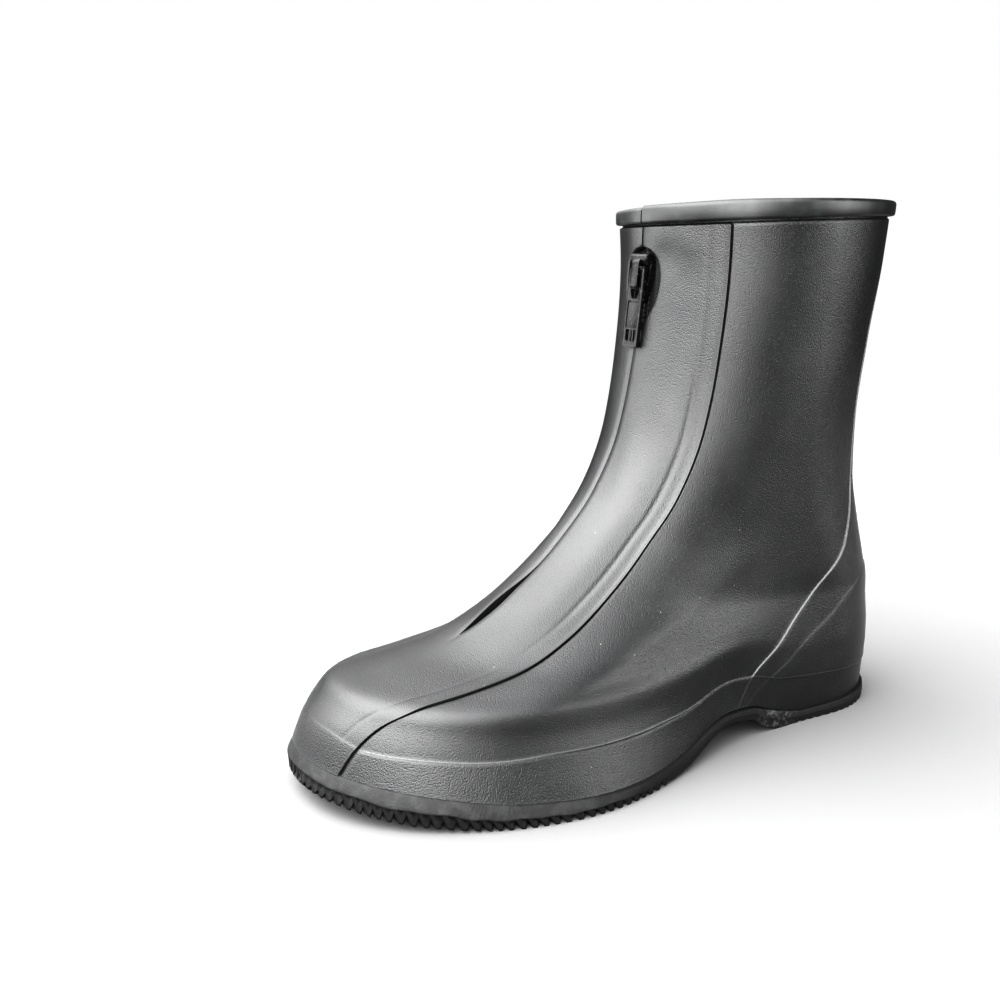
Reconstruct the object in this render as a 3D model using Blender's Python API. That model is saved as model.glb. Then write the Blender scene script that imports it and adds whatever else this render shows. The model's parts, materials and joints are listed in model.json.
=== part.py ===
"""Left overshoe of black rubber with a zip down its front, standing on the floor z = 0.

Sizes and tables are in millimetres, and meshes in metres. The toe points to -Y, the heel to +Y and the
outer side of the foot to +X. Heights in the tables are over the feather edge, where upper and sole meet.
"""
import math

import bmesh
import bpy
import numpy as np

MM = 0.001
GAP = 0.3                   # clearance between neighbouring pieces
FRAME_X = 3.6               # middle of the whole overshoe, measured from the line through the heel
FRAME_Y = 1.0


def columns(names, rows):
    """Table as a dictionary of named columns."""
    return dict(zip(names.split(), np.array(rows, float).T))


# Upper: sections of the last, one row for each height
HEEL_BACK = 156.0           # rear of the upper at the feather edge, where sole stations start
FOOT_LENGTH = 312.0
LAST = columns("height toe back fore rear nose tail", (
    (0, -153, 156, 63, 37.5, 98, 46),
    (20, -148, 156, 57.5, 41, 88, 46),
    (30, -144, 156.5, 55.5, 42, 82, 46),
    (40, -138, 156.5, 55, 42.5, 77, 46),
    (48, -119, 156, 52, 42.5, 77, 46),
    (56, -95, 155.5, 50, 42.5, 79, 46),
    (66, -76, 155, 48.5, 42.5, 85, 46),
    (80, -55, 152, 45.5, 44, 92, 50),
    (100, -29, 147, 45, 46, 92, 54),
    (125, -6, 142.5, 47.5, 49, 82, 60),
    (155, 9, 141, 51, 52.5, 72, 62),
    (190, 17, 145, 55.5, 56.5, 70, 65),
    (225, 21.5, 151.5, 60, 60.5, 67, 69),
    (255, 23, 155.5, 62.5, 62.5, 60, 73),
))
TOE_SQUARE = 0.35           # how much squarer than an ellipse the low sections are at toe and heel
HEEL_SQUARE = 0.2
SQUARE_TOP = 56.0
WAIST_DIP = 1.5
WAIST_Y, WAIST_SPREAD, WAIST_TOP = 45.0, 38.0, 90.0
BALL_SWELL = 6.0            # outward swell of the ball and inward swing of the toe
BALL_Y, BALL_SPREAD = -42.0, 52.0
TOE_SWING = 11.0
SWING_START, SWING_LENGTH, SWING_TOP = -40.0, 110.0, 110.0
INNER_FLAT = 5.0            # straighter inner side at the ball
INNER_Y, INNER_SPREAD, INNER_TOP = -30.0, 60.0, 45.0
SPRING_TOP = 95.0           # height over which the feather edge's rise fades out
REAR_START, REAR_LENGTH = -60.0, 160.0
COLLAR_TILT = 0.033         # rise of the collar toward the outer side, from the height where it starts
TILT_START = 140.0

# Upper: wall and the steps in it
WALL = 2.2
RIM = 255.0
BAND_FOOT = 248.2
BAND_RISE = 2.4
BAND_ROUND = 0.8
PANEL_RISE = 1.1
CHANNEL = 2.2               # groove along the front panel's edge
CHANNEL_DEPTH = 0.5
FOXING_RISE = 0.8
COUNTER_RISE = 0.7
STEP = 0.8                  # length over which a step in the wall rises
ZONE_RISE = {"front": PANEL_RISE, "channel": -CHANNEL_DEPTH, "side": 0.0, "counter": COUNTER_RISE}
PANEL = columns("height half", ((0, 24), (50, 47.5), (110, 43), (255, 46.5)))
COUNTER = columns("height from_back", (
    (0, 128), (18, 122), (49, 101), (68, 84), (92, 58), (126, 42), (255, 36)))
FOXING = columns("station height", (
    (0, 16.5), (40, 18.5), (70, 20.5), (100, 18), (140, 19), (180, 20.5), (230, 20.5), (270, 17), (312, 14)))
SLIT_FOOT = 64.0
SLIT = columns("height half", (
    (0, 0.35), (64, 0.35), (70, 1.7), (86, 0.35), (198, 0.35), (203, 4), (213, 11), (223, 13), (231, 11),
    (235, 7.5), (238, 0.35), (255, 0.35)))
ROW_ZONES = ((SLIT_FOOT, 6), (124.0, 6), (198.0, 3), (238.0, 8), (BAND_FOOT, 1))
FOXING_ROWS = 3
SLIT_ROW = FOXING_ROWS + ROW_ZONES[0][1]
BAND_ROWS = 3
FRONT_COLUMNS = (0, 0.18, 0.4, 0.62, 0.82, 1)
SIDE_COLUMNS = 12
BACK_COLUMNS = 7
LOOP_TURNS = np.linspace(0, math.pi, 181)
NORMAL_REACH = 0.5

# Outsole
SOLE = columns("station feather tread", (
    (0, 8, 2.5), (8, 7.4, 0), (30, 6.5, 0), (58, 6, 0), (75, 8.9, 0), (87, 13, 3.2), (96, 16.2, 9),
    (115, 18, 12.5), (150, 9.5, 2.5), (178, 7.2, 0), (235, 9.5, 0), (280, 16, 3), (312, 21.5, 8.5)))
WELT = {"toe": -156.5, "back": 158.5, "fore": 66.5, "rear": 39.2, "nose": 98.0, "tail": 47.0}
LIP_ROUND = 0.7
LIP_THICK = 4.6             # smooth lip over the teeth, at most this share of the edge's height
LIP_SHARE = 0.5
UNDERCUT = 0.5
UNDERCUT_RISE = 0.4
FOOT_DRAFT = 0.3
SEAT_EASE = 0.8             # extra clearance where the feather edge arches over the waist
SEAT_STATION, SEAT_SPREAD = 108.0, 28.0
RIBS = columns("start end pitch deepest", ((5, 66, 5.1, 1.0), (162, 308, 5.2, 3.6)))
RIB_SLOPE, RIB_CREST = 0.5, 0.88    # shares of the pitch where a crest starts and ends
RIB_SHARE = 0.85            # most of the edge's height that a groove takes
ARCH_STEP = 6.0
TIP_STEPS = (0.1, 0.6, 1.6, 3.0)
PAD_SHARE = 0.4             # flat pads in the middle of heel and forefoot
PADS = ((22.0, 50.0), (192.0, 224.0))

# Insole
INSOLE_THICK = 2.0
INSOLE_INSET = WALL + 2.0
INSOLE_STATIONS = 48

# Zip
CHAIN_HALF = 3.0
CHAIN_DEPTH = (WALL + GAP, WALL + 2.5)
TAPE_ARCS = (CHAIN_HALF + GAP, 9.0, 15.0)
TAPE_DEPTH = (WALL + 0.5, WALL + 1.4)
ZIP_FOOT = 66.0
ZIP_TOP = 246.0
ZIP_ROWS = 27
SLIDER_HEIGHT = 221.0       # height on the front line of the slider's middle
SLIDER_HALF = 6.6
SLIDER_UP, SLIDER_DOWN = 13.0, 9.0
SLIDER_BACK = -1.4         # back and front of the slider's plate, outward from the last
SLIDER_FACE = 0.9
BRIDGE_HALF = 2.7
BRIDGE_UP, BRIDGE_DOWN = 11.6, 3.6
BRIDGE_LEG = 2.6
BRIDGE_BAR = 1.1
HINGE_UP = 6.2              # pull tab's axis, up and outward from the slider's middle
HINGE_OUT = 2.9
TAB_HALF = 5.8
TAB_THICK = 1.8
TAB_ABOVE = 0.9            # from the axis to the tab's top end and to its bottom end
TAB_BELOW = 36.0
YOKE_HALF = 3.3
YOKE_LENGTH = 12.2
WINDOW_HALF = 3.1
WINDOW = (-33.5, -28.0)
FACE_HALF = 4.3
FACE = (-27.0, -14.2)
FACE_DEPTH = 0.3
BRIDGE_REACH = HINGE_OUT + TAB_THICK / 2 + 0.6

# Colours: red, green, blue, roughness, metallic
FINISHES = {
    "rubber_upper": (0.020, 0.021, 0.022, 0.50, 0.0),
    "rubber_sole": (0.016, 0.016, 0.017, 0.60, 0.0),
    "lining": (0.030, 0.030, 0.032, 0.90, 0.0),
    "tape": (0.022, 0.022, 0.024, 0.85, 0.0),
    "zip_teeth": (0.012, 0.012, 0.013, 0.40, 0.0),
    "zip_metal": (0.010, 0.010, 0.011, 0.25, 0.6),
}


def smooth(xs, ys, x):
    """Monotone cubic through the points of a table."""
    x = np.asarray(x, float)
    step = np.diff(xs)
    slope = np.diff(ys) / step
    tangent = np.zeros_like(ys)
    tangent[0] = slope[0]
    tangent[-1] = slope[-1]
    for k in range(1, len(ys) - 1):
        if slope[k - 1] * slope[k] > 0:
            near = 2 * step[k] + step[k - 1]
            far = step[k] + 2 * step[k - 1]
            tangent[k] = (near + far) / (near / slope[k - 1] + far / slope[k])
    i = np.clip(np.searchsorted(xs, x) - 1, 0, len(xs) - 2)
    t = np.clip((x - xs[i]) / step[i], 0, 1)
    start = (1 + 2 * t) * (1 - t) ** 2 * ys[i] + t * (1 - t) ** 2 * step[i] * tangent[i]
    end = t * t * (3 - 2 * t) * ys[i + 1] + t * t * (t - 1) * step[i] * tangent[i + 1]
    return start + end


def ease(t):
    """Smooth step from 0 to 1."""
    t = np.clip(t, 0, 1)
    return t * t * (3 - 2 * t)


def hump(y, middle, spread):
    """Bell of height 1 round a place along the foot."""
    return np.exp(-((y - middle) / spread) ** 2)


def fading(height, top):
    """1 at the feather edge, falling evenly to 0 at the height top."""
    return np.clip(1 - height / top, 0, 1)


def section(height):
    """Sizes of the last's sections at the heights given."""
    return {name: smooth(LAST["height"], LAST[name], height) for name in LAST if name != "height"}


def end_round(share, power):
    """Half width, from 0 to 1, over the rounded end of a section."""
    return (1 - (1 - np.clip(share, 0, 1)) ** power) ** (1 / power)


def outline(sec, height, turn, side):
    """x and y along half a section, where turn runs from 0 at the toe to pi at the heel."""
    y = sec["toe"] + (sec["back"] - sec["toe"]) * (1 - np.cos(turn)) / 2
    rear = ease((y - REAR_START) / REAR_LENGTH)
    core = sec["fore"] * (1 - rear) + sec["rear"] * rear
    core = core - WAIST_DIP * hump(y, WAIST_Y, WAIST_SPREAD) * fading(height, WAIST_TOP)
    if side < 0:
        core = core - INNER_FLAT * hump(y, INNER_Y, INNER_SPREAD) * fading(height, INNER_TOP)
    square = fading(height, SQUARE_TOP)
    half = core * end_round((y - sec["toe"]) / sec["nose"], 2 + TOE_SQUARE * square)
    half = half * end_round((sec["back"] - y) / sec["tail"], 2 + HEEL_SQUARE * square)
    swing = TOE_SWING * np.clip((SWING_START - y) / SWING_LENGTH, 0, 1) ** 2
    centre = (BALL_SWELL * hump(y, BALL_Y, BALL_SPREAD) - swing) * fading(height, SWING_TOP)
    return centre + side * half, y


def along(name, y):
    """Sole height at places along the foot: the feather edge or the tread."""
    return smooth(SOLE["station"], SOLE[name], np.clip(HEEL_BACK - y, 0, FOOT_LENGTH))


def lift(height, y):
    """Height over the floor of a point of the upper."""
    return height + ease(fading(height, SPRING_TOP)) * along("feather", y)


def loops(height):
    """Whole sections, one row a height: distance round from the front centre, x and y."""
    sec = section(height[:, None])
    halves = {side: outline(sec, height[:, None], LOOP_TURNS[None, :], side) for side in (-1, 1)}
    runs = {}
    for side, (x, y) in halves.items():
        steps = np.hypot(np.diff(x, axis=1), np.diff(y, axis=1))
        runs[side] = np.concatenate([np.zeros((len(height), 1)), np.cumsum(steps, axis=1)], axis=1)
    run = np.concatenate([-runs[-1][:, :0:-1], runs[1]], axis=1)
    x = np.concatenate([halves[-1][0][:, :0:-1], halves[1][0]], axis=1)
    y = np.concatenate([halves[-1][1][:, :0:-1], halves[1][1]], axis=1)
    return run, x, y


def surface(height, arc):
    """Points of the last at heights and signed distances round from the front centre."""
    height, arc = np.broadcast_arrays(np.asarray(height, float), np.asarray(arc, float))
    run, x, y = loops(height.ravel())
    flat = arc.ravel()
    px = np.array([np.interp(a, r, v) for a, r, v in zip(flat, run, x)])
    py = np.array([np.interp(a, r, v) for a, r, v in zip(flat, run, y)])
    tilt = COLLAR_TILT * ease((height.ravel() - TILT_START) / (RIM - TILT_START))
    pz = lift(height.ravel(), py) + tilt * px
    return np.stack([px, py, pz], axis=-1).reshape(height.shape + (3,))


def unit(vectors):
    """Vectors scaled to length 1."""
    return vectors / np.linalg.norm(vectors, axis=-1, keepdims=True)


def normals(height, arc):
    """Outward directions of the last."""
    reach = NORMAL_REACH
    round_way = surface(height, arc + reach) - surface(height, arc - reach)
    low = np.maximum(height - reach, 0)
    high = np.minimum(height + reach, RIM)
    return unit(np.cross(round_way, surface(high, arc) - surface(low, arc)))


def level(directions):
    """Directions laid flat."""
    flat = directions.copy()
    flat[..., 2] = 0
    return unit(flat)


def row_heights(foxing):
    """Heights of the upper's rows, for columns with the foxing's edge at the heights given."""
    rows = [0 * foxing, 0.5 * foxing, foxing - STEP, foxing]
    start = foxing
    for top, steps in ROW_ZONES:
        rows += [start + (top - start) * k / steps for k in range(1, steps + 1)]
        start = 0 * foxing + top
    rows += [0 * foxing + h for h in (BAND_FOOT + STEP / 2, RIM - BAND_ROUND, RIM)]
    return np.array(rows)


def upper_columns():
    """Zone and share of each column of half the upper, from the slit to the back."""
    places = [("front", share) for share in FRONT_COLUMNS]
    places.append(("channel", 0.4))
    places += [("side", k / SIDE_COLUMNS) for k in range(SIDE_COLUMNS + 1)]
    places += [("counter", k / BACK_COLUMNS) for k in range(BACK_COLUMNS + 1)]
    return places


def column_arc(zone, share, height, half_loop):
    """Distance of a column from the front centre, for each of its heights."""
    edge = smooth(PANEL["height"], PANEL["half"], height)
    counter = half_loop - smooth(COUNTER["height"], COUNTER["from_back"], height)
    spans = {
        "front": (smooth(SLIT["height"], SLIT["half"], height), edge),
        "channel": (edge, edge + CHANNEL),
        "side": (edge + CHANNEL, counter - STEP),
        "counter": (counter, half_loop),
    }
    start, end = spans[zone]
    return start + (end - start) * share


def column_rise(zone, rows):
    """How far each row of a column stands out from the last."""
    rise = np.full(rows, ZONE_RISE[zone])
    if zone in ("side", "counter"):
        rise[:FOXING_ROWS] = FOXING_RISE
    rise[-BAND_ROWS:] = BAND_RISE
    rise[-1] -= BAND_ROUND
    return rise


def upper_grid():
    """Heights, signed distances and rise of the upper's grid, column by column round the loop."""
    heights, arcs, rises = [], [], []
    for side in (-1, 1):
        for zone, share in upper_columns():
            base_run, _, base_y = loops(np.zeros(1))
            base_half = abs(base_run[0, -1 if side > 0 else 0])
            base_arc = side * column_arc(zone, share, np.zeros(1), base_half)
            station = HEEL_BACK - np.interp(base_arc[0], base_run[0], base_y[0])
            foxing = smooth(FOXING["station"], FOXING["height"], np.array([np.clip(station, 0, FOOT_LENGTH)]))
            height = row_heights(foxing)[:, 0]
            run = loops(height)[0]
            half_loop = np.abs(run[:, -1 if side > 0 else 0])
            heights.append(height)
            arcs.append(side * column_arc(zone, share, height, half_loop))
            rises.append(column_rise(zone, len(height)))
    half = len(upper_columns())
    order = list(range(half - 2, -1, -1)) + list(range(half, 2 * half))
    return [np.array(block)[order].T for block in (heights, arcs, rises)]


def metres(points):
    """Points of the last's frame in metres round the overshoe's middle."""
    return (np.asarray(points, float) - (FRAME_X, FRAME_Y, 0)) * MM


def material(finish):
    """Principled material of one of the finishes."""
    mat = bpy.data.materials.new(finish)
    mat.use_nodes = True
    red, green, blue, rough, metal = FINISHES[finish]
    shader = mat.node_tree.nodes["Principled BSDF"]
    shader.inputs["Base Color"].default_value = (red, green, blue, 1)
    shader.inputs["Roughness"].default_value = rough
    shader.inputs["Metallic"].default_value = metal
    mat.diffuse_color = (red, green, blue, 1)
    return mat


def piece(name, points, faces, finish=None):
    """Object of a closed mesh, its faces turned outward; without a finish it is a cutter or an added form."""
    mesh = bpy.data.meshes.new(name)
    mesh.from_pydata([tuple(p) for p in points], [], faces)
    work = bmesh.new()
    work.from_mesh(mesh)
    bmesh.ops.recalc_face_normals(work, faces=work.faces)
    work.to_mesh(mesh)
    work.free()
    mesh.shade_smooth()
    mesh.set_sharp_from_angle(angle=math.radians(35))
    obj = bpy.data.objects.new(name, mesh)
    bpy.context.scene.collection.objects.link(obj)
    if finish is None:
        obj.hide_render = True
        obj.display_type = "WIRE"
    else:
        mesh.materials.append(material(finish))
    return obj


def combine(obj, other, operation):
    """Boolean of an object with a cutter or an added form."""
    other.parent = obj
    tool = obj.modifiers.new(other.name, "BOOLEAN")
    tool.operation = operation
    tool.object = other
    tool.solver = "EXACT"


def lofted(sections):
    """Points and faces of a tube of even sections, its ends closed across from one half to the other."""
    stations, around = sections.shape[:2]
    faces = []
    for i in range(stations - 1):
        for j in range(around):
            k = (j + 1) % around
            faces.append((i * around + j, i * around + k, (i + 1) * around + k, (i + 1) * around + j))
    for end in (0, (stations - 1) * around):
        for j in range(around // 2 - 1):
            faces.append((end + j, end + j + 1, end + around - 2 - j, end + around - 1 - j))
    return sections.reshape(-1, 3), faces


def prism(profile, low, high):
    """Points and faces of a flat profile between two sides; profile gives a point for each side."""
    count = len(profile(low))
    points = list(profile(low)) + list(profile(high))
    faces = [tuple(range(count)), tuple(range(count, 2 * count))]
    faces += [(k, (k + 1) % count, count + (k + 1) % count, count + k) for k in range(count)]
    return np.array(points) * MM, faces


def make_upper():
    """Hollow upper: outer wall with its steps, inner wall, and the edges that join them."""
    height, arc, rise = upper_grid()
    base = surface(height, arc)
    out = normals(height, arc)
    out[0] = level(out[0])
    out[-1] = level(out[-1])
    walls = [base + out * rise[..., None], base - out * WALL]
    for wall in walls:
        wall[0, :, 2] = along("feather", wall[0, :, 1])
    rows, count = height.shape
    inner = rows * count
    front = len(upper_columns()) - 2
    faces = []
    for r in range(rows - 1):
        for c in range(count):
            if c == front and r >= SLIT_ROW:
                continue
            a, b = r * count + c, r * count + (c + 1) % count
            faces.append((a, b, b + count, a + count))
            faces.append((a + count + inner, b + count + inner, b + inner, a + inner))
    edges = [(c, (c + 1) % count) for c in range(count)]
    top = (rows - 1) * count
    edges += [(top + c, top + (c + 1) % count) for c in range(count) if c != front]
    for c in (front, front + 1):
        edges += [(r * count + c, (r + 1) * count + c) for r in range(SLIT_ROW, rows - 1)]
    edges.append((SLIT_ROW * count + front, SLIT_ROW * count + front + 1))
    faces += [(a, b, b + inner, a + inner) for a, b in edges]
    points = np.concatenate([wall.reshape(-1, 3) for wall in walls])
    return piece("upper", metres(points), faces, "rubber_upper")


def groove_depth(station, room):
    """Depth of the cross grooves at a valley, from the edge's height at that station."""
    for start, end, deepest in zip(RIBS["start"], RIBS["end"], RIBS["deepest"]):
        if start <= station <= end:
            return min(deepest, RIB_SHARE * room)
    return 0.0


def sole_stations():
    """Places along the sole from heel to toe, each with whether a groove is there."""
    ends = [(HEEL_BACK - WELT["back"] + step, False) for step in TIP_STEPS]
    ends += [(HEEL_BACK - WELT["toe"] - step, False) for step in TIP_STEPS]
    inside = []
    for start, end, pitch in zip(RIBS["start"], RIBS["end"], RIBS["pitch"]):
        for k in range(int((end - start) / pitch)):
            valley = start + k * pitch
            inside.append((valley, True))
            inside += [(valley + share * pitch, False) for share in (RIB_SLOPE, RIB_CREST)]
    arch_start, arch_end = RIBS["end"][0], RIBS["start"][1]
    steps = int((arch_end - arch_start) / ARCH_STEP)
    inside += [(arch_start + (arch_end - arch_start) * k / steps, False) for k in range(steps)]
    return sorted(ends + inside)


def ring_point(turn, inset, side):
    """Point on the welt's outline, moved inward by the inset."""
    sec = {name: size - inset for name, size in WELT.items()}
    sec["toe"] = WELT["toe"] + inset
    return outline(sec, 0.0, turn, side)


def make_outsole():
    """Sole with a welt lip over an undercut, toothed cross ribs, heel, arch and toe spring."""
    sections = []
    for station, groove in sole_stations():
        length = WELT["back"] - WELT["toe"]
        turn = math.acos(1 - 2 * (HEEL_BACK - station - WELT["toe"]) / length)
        y_mid = HEEL_BACK - station
        seat = float(along("feather", y_mid)) - GAP - SEAT_EASE * hump(station, SEAT_STATION, SEAT_SPREAD)
        tread = float(along("tread", y_mid))
        lip_foot = seat - min(LIP_THICK, LIP_SHARE * (seat - tread))
        ledge = lip_foot - UNDERCUT_RISE
        cut = groove_depth(station, ledge - tread) if groove else 0.0
        on_pad = any(start <= station <= end for start, end in PADS)
        levels = (
            (LIP_ROUND, seat), (0.0, seat - LIP_ROUND), (0.0, lip_foot), (UNDERCUT, ledge),
            (UNDERCUT + FOOT_DRAFT, tread + cut))
        halves = {}
        for side in (1, -1):
            points = []
            for inset, z in levels:
                x, y = ring_point(turn, inset, side)
                points.append((x, y, z))
            halves[side] = points
        foot_right, foot_left = np.array(halves[1][-1]), np.array(halves[-1][-1])
        middle = (foot_right + foot_left) / 2
        inner = [middle + (foot - middle) * PAD_SHARE for foot in (foot_right, foot_left)]
        for point in inner:
            point[2] = tread if on_pad else tread + cut
        sections.append(halves[1] + [tuple(p) for p in inner] + halves[-1][::-1])
    points, faces = lofted(np.array(sections, float))
    return piece("outsole", metres(points), faces, "rubber_sole")


def make_insole():
    """Thin sheet on the outsole, clear of the upper's wall."""
    sizes = {name: LAST[name][0] - INSOLE_INSET for name in LAST if name != "height"}
    sizes["toe"] = LAST["toe"][0] + INSOLE_INSET
    sections = []
    for turn in np.linspace(0, math.pi, INSOLE_STATIONS + 1)[1:-1]:
        section_points = []
        for side, order in ((1, (INSOLE_THICK, 0.0)), (-1, (0.0, INSOLE_THICK))):
            x, y = outline(sizes, 0.0, turn, side)
            section_points += [(x, y, float(along("feather", y)) + z) for z in order]
        sections.append(section_points)
    points, faces = lofted(np.array(sections, float))
    return piece("insole", metres(points), faces, "lining")


def make_strip(name, arcs, depths, finish):
    """Strip behind the slit that follows the upper's inside."""
    height = np.linspace(ZIP_FOOT, ZIP_TOP, ZIP_ROWS)[:, None] + 0 * np.array(arcs)[None, :]
    arc = 0 * height + np.array(arcs)[None, :]
    base = surface(height, arc)
    out = normals(height, arc)
    near = base - out * depths[0]
    far = base - out * depths[1]
    points, faces = lofted(np.concatenate([near, far[:, ::-1]], axis=1))
    return piece(name, metres(points), faces, finish)


def slider_place():
    """Point of the slider's middle on the front line, and the slope of the line that its tab lies along."""
    low, middle, high = surface(SLIDER_HEIGHT + np.array([-TAB_BELOW, 0, HINGE_UP]), np.zeros(3))
    return middle, math.atan2(high[2] - low[2], high[1] - low[1])


def set_on_front(obj, up, out):
    """Place an object on the front line: its X across, Y up the line and Z outward."""
    middle, slope = slider_place()
    line = np.array([0.0, math.cos(slope), math.sin(slope)])
    outward = np.array([0.0, -math.sin(slope), math.cos(slope)])
    obj.location = metres(middle + line * up + outward * out)
    obj.rotation_euler = (slope, 0, 0)


def rounded_box(half, low, high, corner):
    """Flat outline with rounded corners, counter-clockwise."""
    points = []
    for x, y, start in ((half, high, 0), (-half, high, 90), (-half, low, 180), (half, low, 270)):
        centre_x = x - math.copysign(corner, x)
        centre_y = y - corner if y == high else y + corner
        for k in range(4):
            angle = math.radians(start + 30 * k)
            points.append((centre_x + corner * math.cos(angle), centre_y + corner * math.sin(angle)))
    return points


def block(name, flat, low, high, finish=None):
    """Flat outline made solid between two depths."""
    points, faces = prism(lambda z: [(x, y, z) for x, y in flat], low, high)
    return piece(name, points, faces, finish)


def make_slider():
    """Cast slider: a plate in front of the chain, with a bridge that holds the pull tab."""
    shoulders = [
        (-SLIDER_HALF, 5), (-SLIDER_HALF * 0.7, -SLIDER_DOWN + 2), (-SLIDER_HALF * 0.5, -SLIDER_DOWN),
        (SLIDER_HALF * 0.5, -SLIDER_DOWN), (SLIDER_HALF * 0.7, -SLIDER_DOWN + 2), (SLIDER_HALF, 5),
        (SLIDER_HALF * 0.96, SLIDER_UP - 4), (SLIDER_HALF * 0.76, SLIDER_UP - 1.2),
        (SLIDER_HALF * 0.4, SLIDER_UP), (-SLIDER_HALF * 0.4, SLIDER_UP),
        (-SLIDER_HALF * 0.76, SLIDER_UP - 1.2), (-SLIDER_HALF * 0.96, SLIDER_UP - 4)]
    slider = block("zip_slider", shoulders, SLIDER_BACK, SLIDER_FACE, "zip_metal")
    crown = BRIDGE_REACH + BRIDGE_BAR
    root = SLIDER_FACE - 0.5
    staple = [
        (BRIDGE_UP, root), (BRIDGE_UP, crown - 1), (BRIDGE_UP - 1, crown), (-BRIDGE_DOWN + 1, crown),
        (-BRIDGE_DOWN, crown - 1), (-BRIDGE_DOWN, root), (BRIDGE_LEG - BRIDGE_DOWN, root),
        (BRIDGE_LEG - BRIDGE_DOWN, BRIDGE_REACH), (BRIDGE_UP - BRIDGE_LEG, BRIDGE_REACH),
        (BRIDGE_UP - BRIDGE_LEG, root)]
    points, faces = prism(lambda x: [(x, y, z) for y, z in staple], -BRIDGE_HALF, BRIDGE_HALF)
    combine(slider, piece("slider_bridge", points, faces), "UNION")
    set_on_front(slider, 0, 0)
    return slider


def make_pull_tab():
    """Pull tab: a yoke whose top bar runs under the bridge, a sunk face and a window."""
    half_thick = TAB_THICK / 2
    plate = rounded_box(TAB_HALF, -TAB_BELOW, TAB_ABOVE, 0.7)
    tab = block("pull_tab", plate, -half_thick, half_thick, "zip_metal")
    fork = rounded_box(YOKE_HALF, -YOKE_LENGTH, -TAB_ABOVE, 0.5)
    yoke = block("tab_yoke_cut", fork, -TAB_THICK, TAB_THICK)
    window = block("tab_window_cut", rounded_box(WINDOW_HALF, *WINDOW, 0.3), -TAB_THICK, TAB_THICK)
    face = block("tab_face_cut", rounded_box(FACE_HALF, *FACE, 0.3), half_thick - FACE_DEPTH, TAB_THICK)
    for cutter in (yoke, window, face):
        combine(tab, cutter, "DIFFERENCE")
    set_on_front(tab, HINGE_UP, HINGE_OUT)
    return tab


def main():
    for obj in list(bpy.data.objects):
        bpy.data.objects.remove(obj, do_unlink=True)
    make_upper()
    make_outsole()
    make_insole()
    make_strip("zip_tape_left", TAPE_ARCS, TAPE_DEPTH, "tape")
    make_strip("zip_tape_right", [-arc for arc in TAPE_ARCS[::-1]], TAPE_DEPTH, "tape")
    make_strip("zip_chain", (-CHAIN_HALF, 0.0, CHAIN_HALF), CHAIN_DEPTH, "zip_teeth")
    make_slider()
    make_pull_tab()


main()
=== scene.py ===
"""Left overshoe of black rubber with a front zip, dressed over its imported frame.

Tables and form functions are in millimetres, with heights over the feather edge where upper and sole meet.
Meshes and settings are in metres. The toe points to -Y, the heel to +Y and the outer side to +X.
"""
import json
import math

import bmesh
import bpy
import numpy as np
from bpy.props import FloatProperty, FloatVectorProperty, PointerProperty
from mathutils import Matrix


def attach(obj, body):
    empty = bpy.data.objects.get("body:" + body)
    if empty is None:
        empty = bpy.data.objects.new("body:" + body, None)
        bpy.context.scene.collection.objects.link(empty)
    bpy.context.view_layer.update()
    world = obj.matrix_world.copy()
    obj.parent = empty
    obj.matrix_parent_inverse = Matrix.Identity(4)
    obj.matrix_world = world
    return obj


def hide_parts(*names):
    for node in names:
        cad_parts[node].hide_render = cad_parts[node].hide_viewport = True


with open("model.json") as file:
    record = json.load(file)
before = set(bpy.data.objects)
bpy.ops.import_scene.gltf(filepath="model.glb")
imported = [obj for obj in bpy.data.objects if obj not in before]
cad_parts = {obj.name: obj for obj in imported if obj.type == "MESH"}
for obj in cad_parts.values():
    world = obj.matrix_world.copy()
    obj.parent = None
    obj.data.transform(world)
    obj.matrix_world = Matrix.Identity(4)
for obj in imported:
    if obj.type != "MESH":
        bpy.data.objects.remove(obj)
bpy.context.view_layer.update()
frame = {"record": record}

bl_info = {
    "name": "Zip Overshoe",
    "version": (1, 0, 0),
    "blender": (4, 5, 0),
    "location": "View3D > Sidebar > Overshoe",
    "description": "Rubber overshoe with a front zip, built over its packed frame",
    "category": "Object",
}

MM = 0.001
SHOE_BODY, TAB_BODY = "overshoe", "tab"
FRAME_X, FRAME_Y = 3.6, 1.0     # middle of the overshoe, measured from the line through the heel
HINGE = frame["record"]["behaviour"]["joints"][0]


def columns(names, rows):
    """Table as a dictionary of named columns."""
    return dict(zip(names.split(), np.array(rows, float).T))


# Form of the last, one row for each height
HEEL_BACK = 156.0
FOOT_LENGTH = 312.0
LAST = columns("height toe back fore rear nose tail", (
    (0, -153, 156, 63, 37.5, 98, 46),
    (20, -148, 156, 57.5, 41, 88, 46),
    (30, -144, 156.5, 55.5, 42, 82, 46),
    (40, -138, 156.5, 55, 42.5, 77, 46),
    (48, -119, 156, 52, 42.5, 77, 46),
    (56, -95, 155.5, 50, 42.5, 79, 46),
    (66, -76, 155, 48.5, 42.5, 85, 46),
    (80, -55, 152, 45.5, 44, 92, 50),
    (100, -29, 147, 45, 46, 92, 54),
    (125, -6, 142.5, 47.5, 49, 82, 60),
    (155, 9, 141, 51, 52.5, 72, 62),
    (190, 17, 145, 55.5, 56.5, 70, 65),
    (225, 21.5, 151.5, 60, 60.5, 67, 69),
    (255, 23, 155.5, 62.5, 62.5, 60, 73),
))
TOE_SQUARE, HEEL_SQUARE, SQUARE_TOP = 0.35, 0.2, 56.0
WAIST_DIP, WAIST_Y, WAIST_SPREAD, WAIST_TOP = 1.5, 45.0, 38.0, 90.0
BALL_SWELL, BALL_Y, BALL_SPREAD = 6.0, -42.0, 52.0
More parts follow.
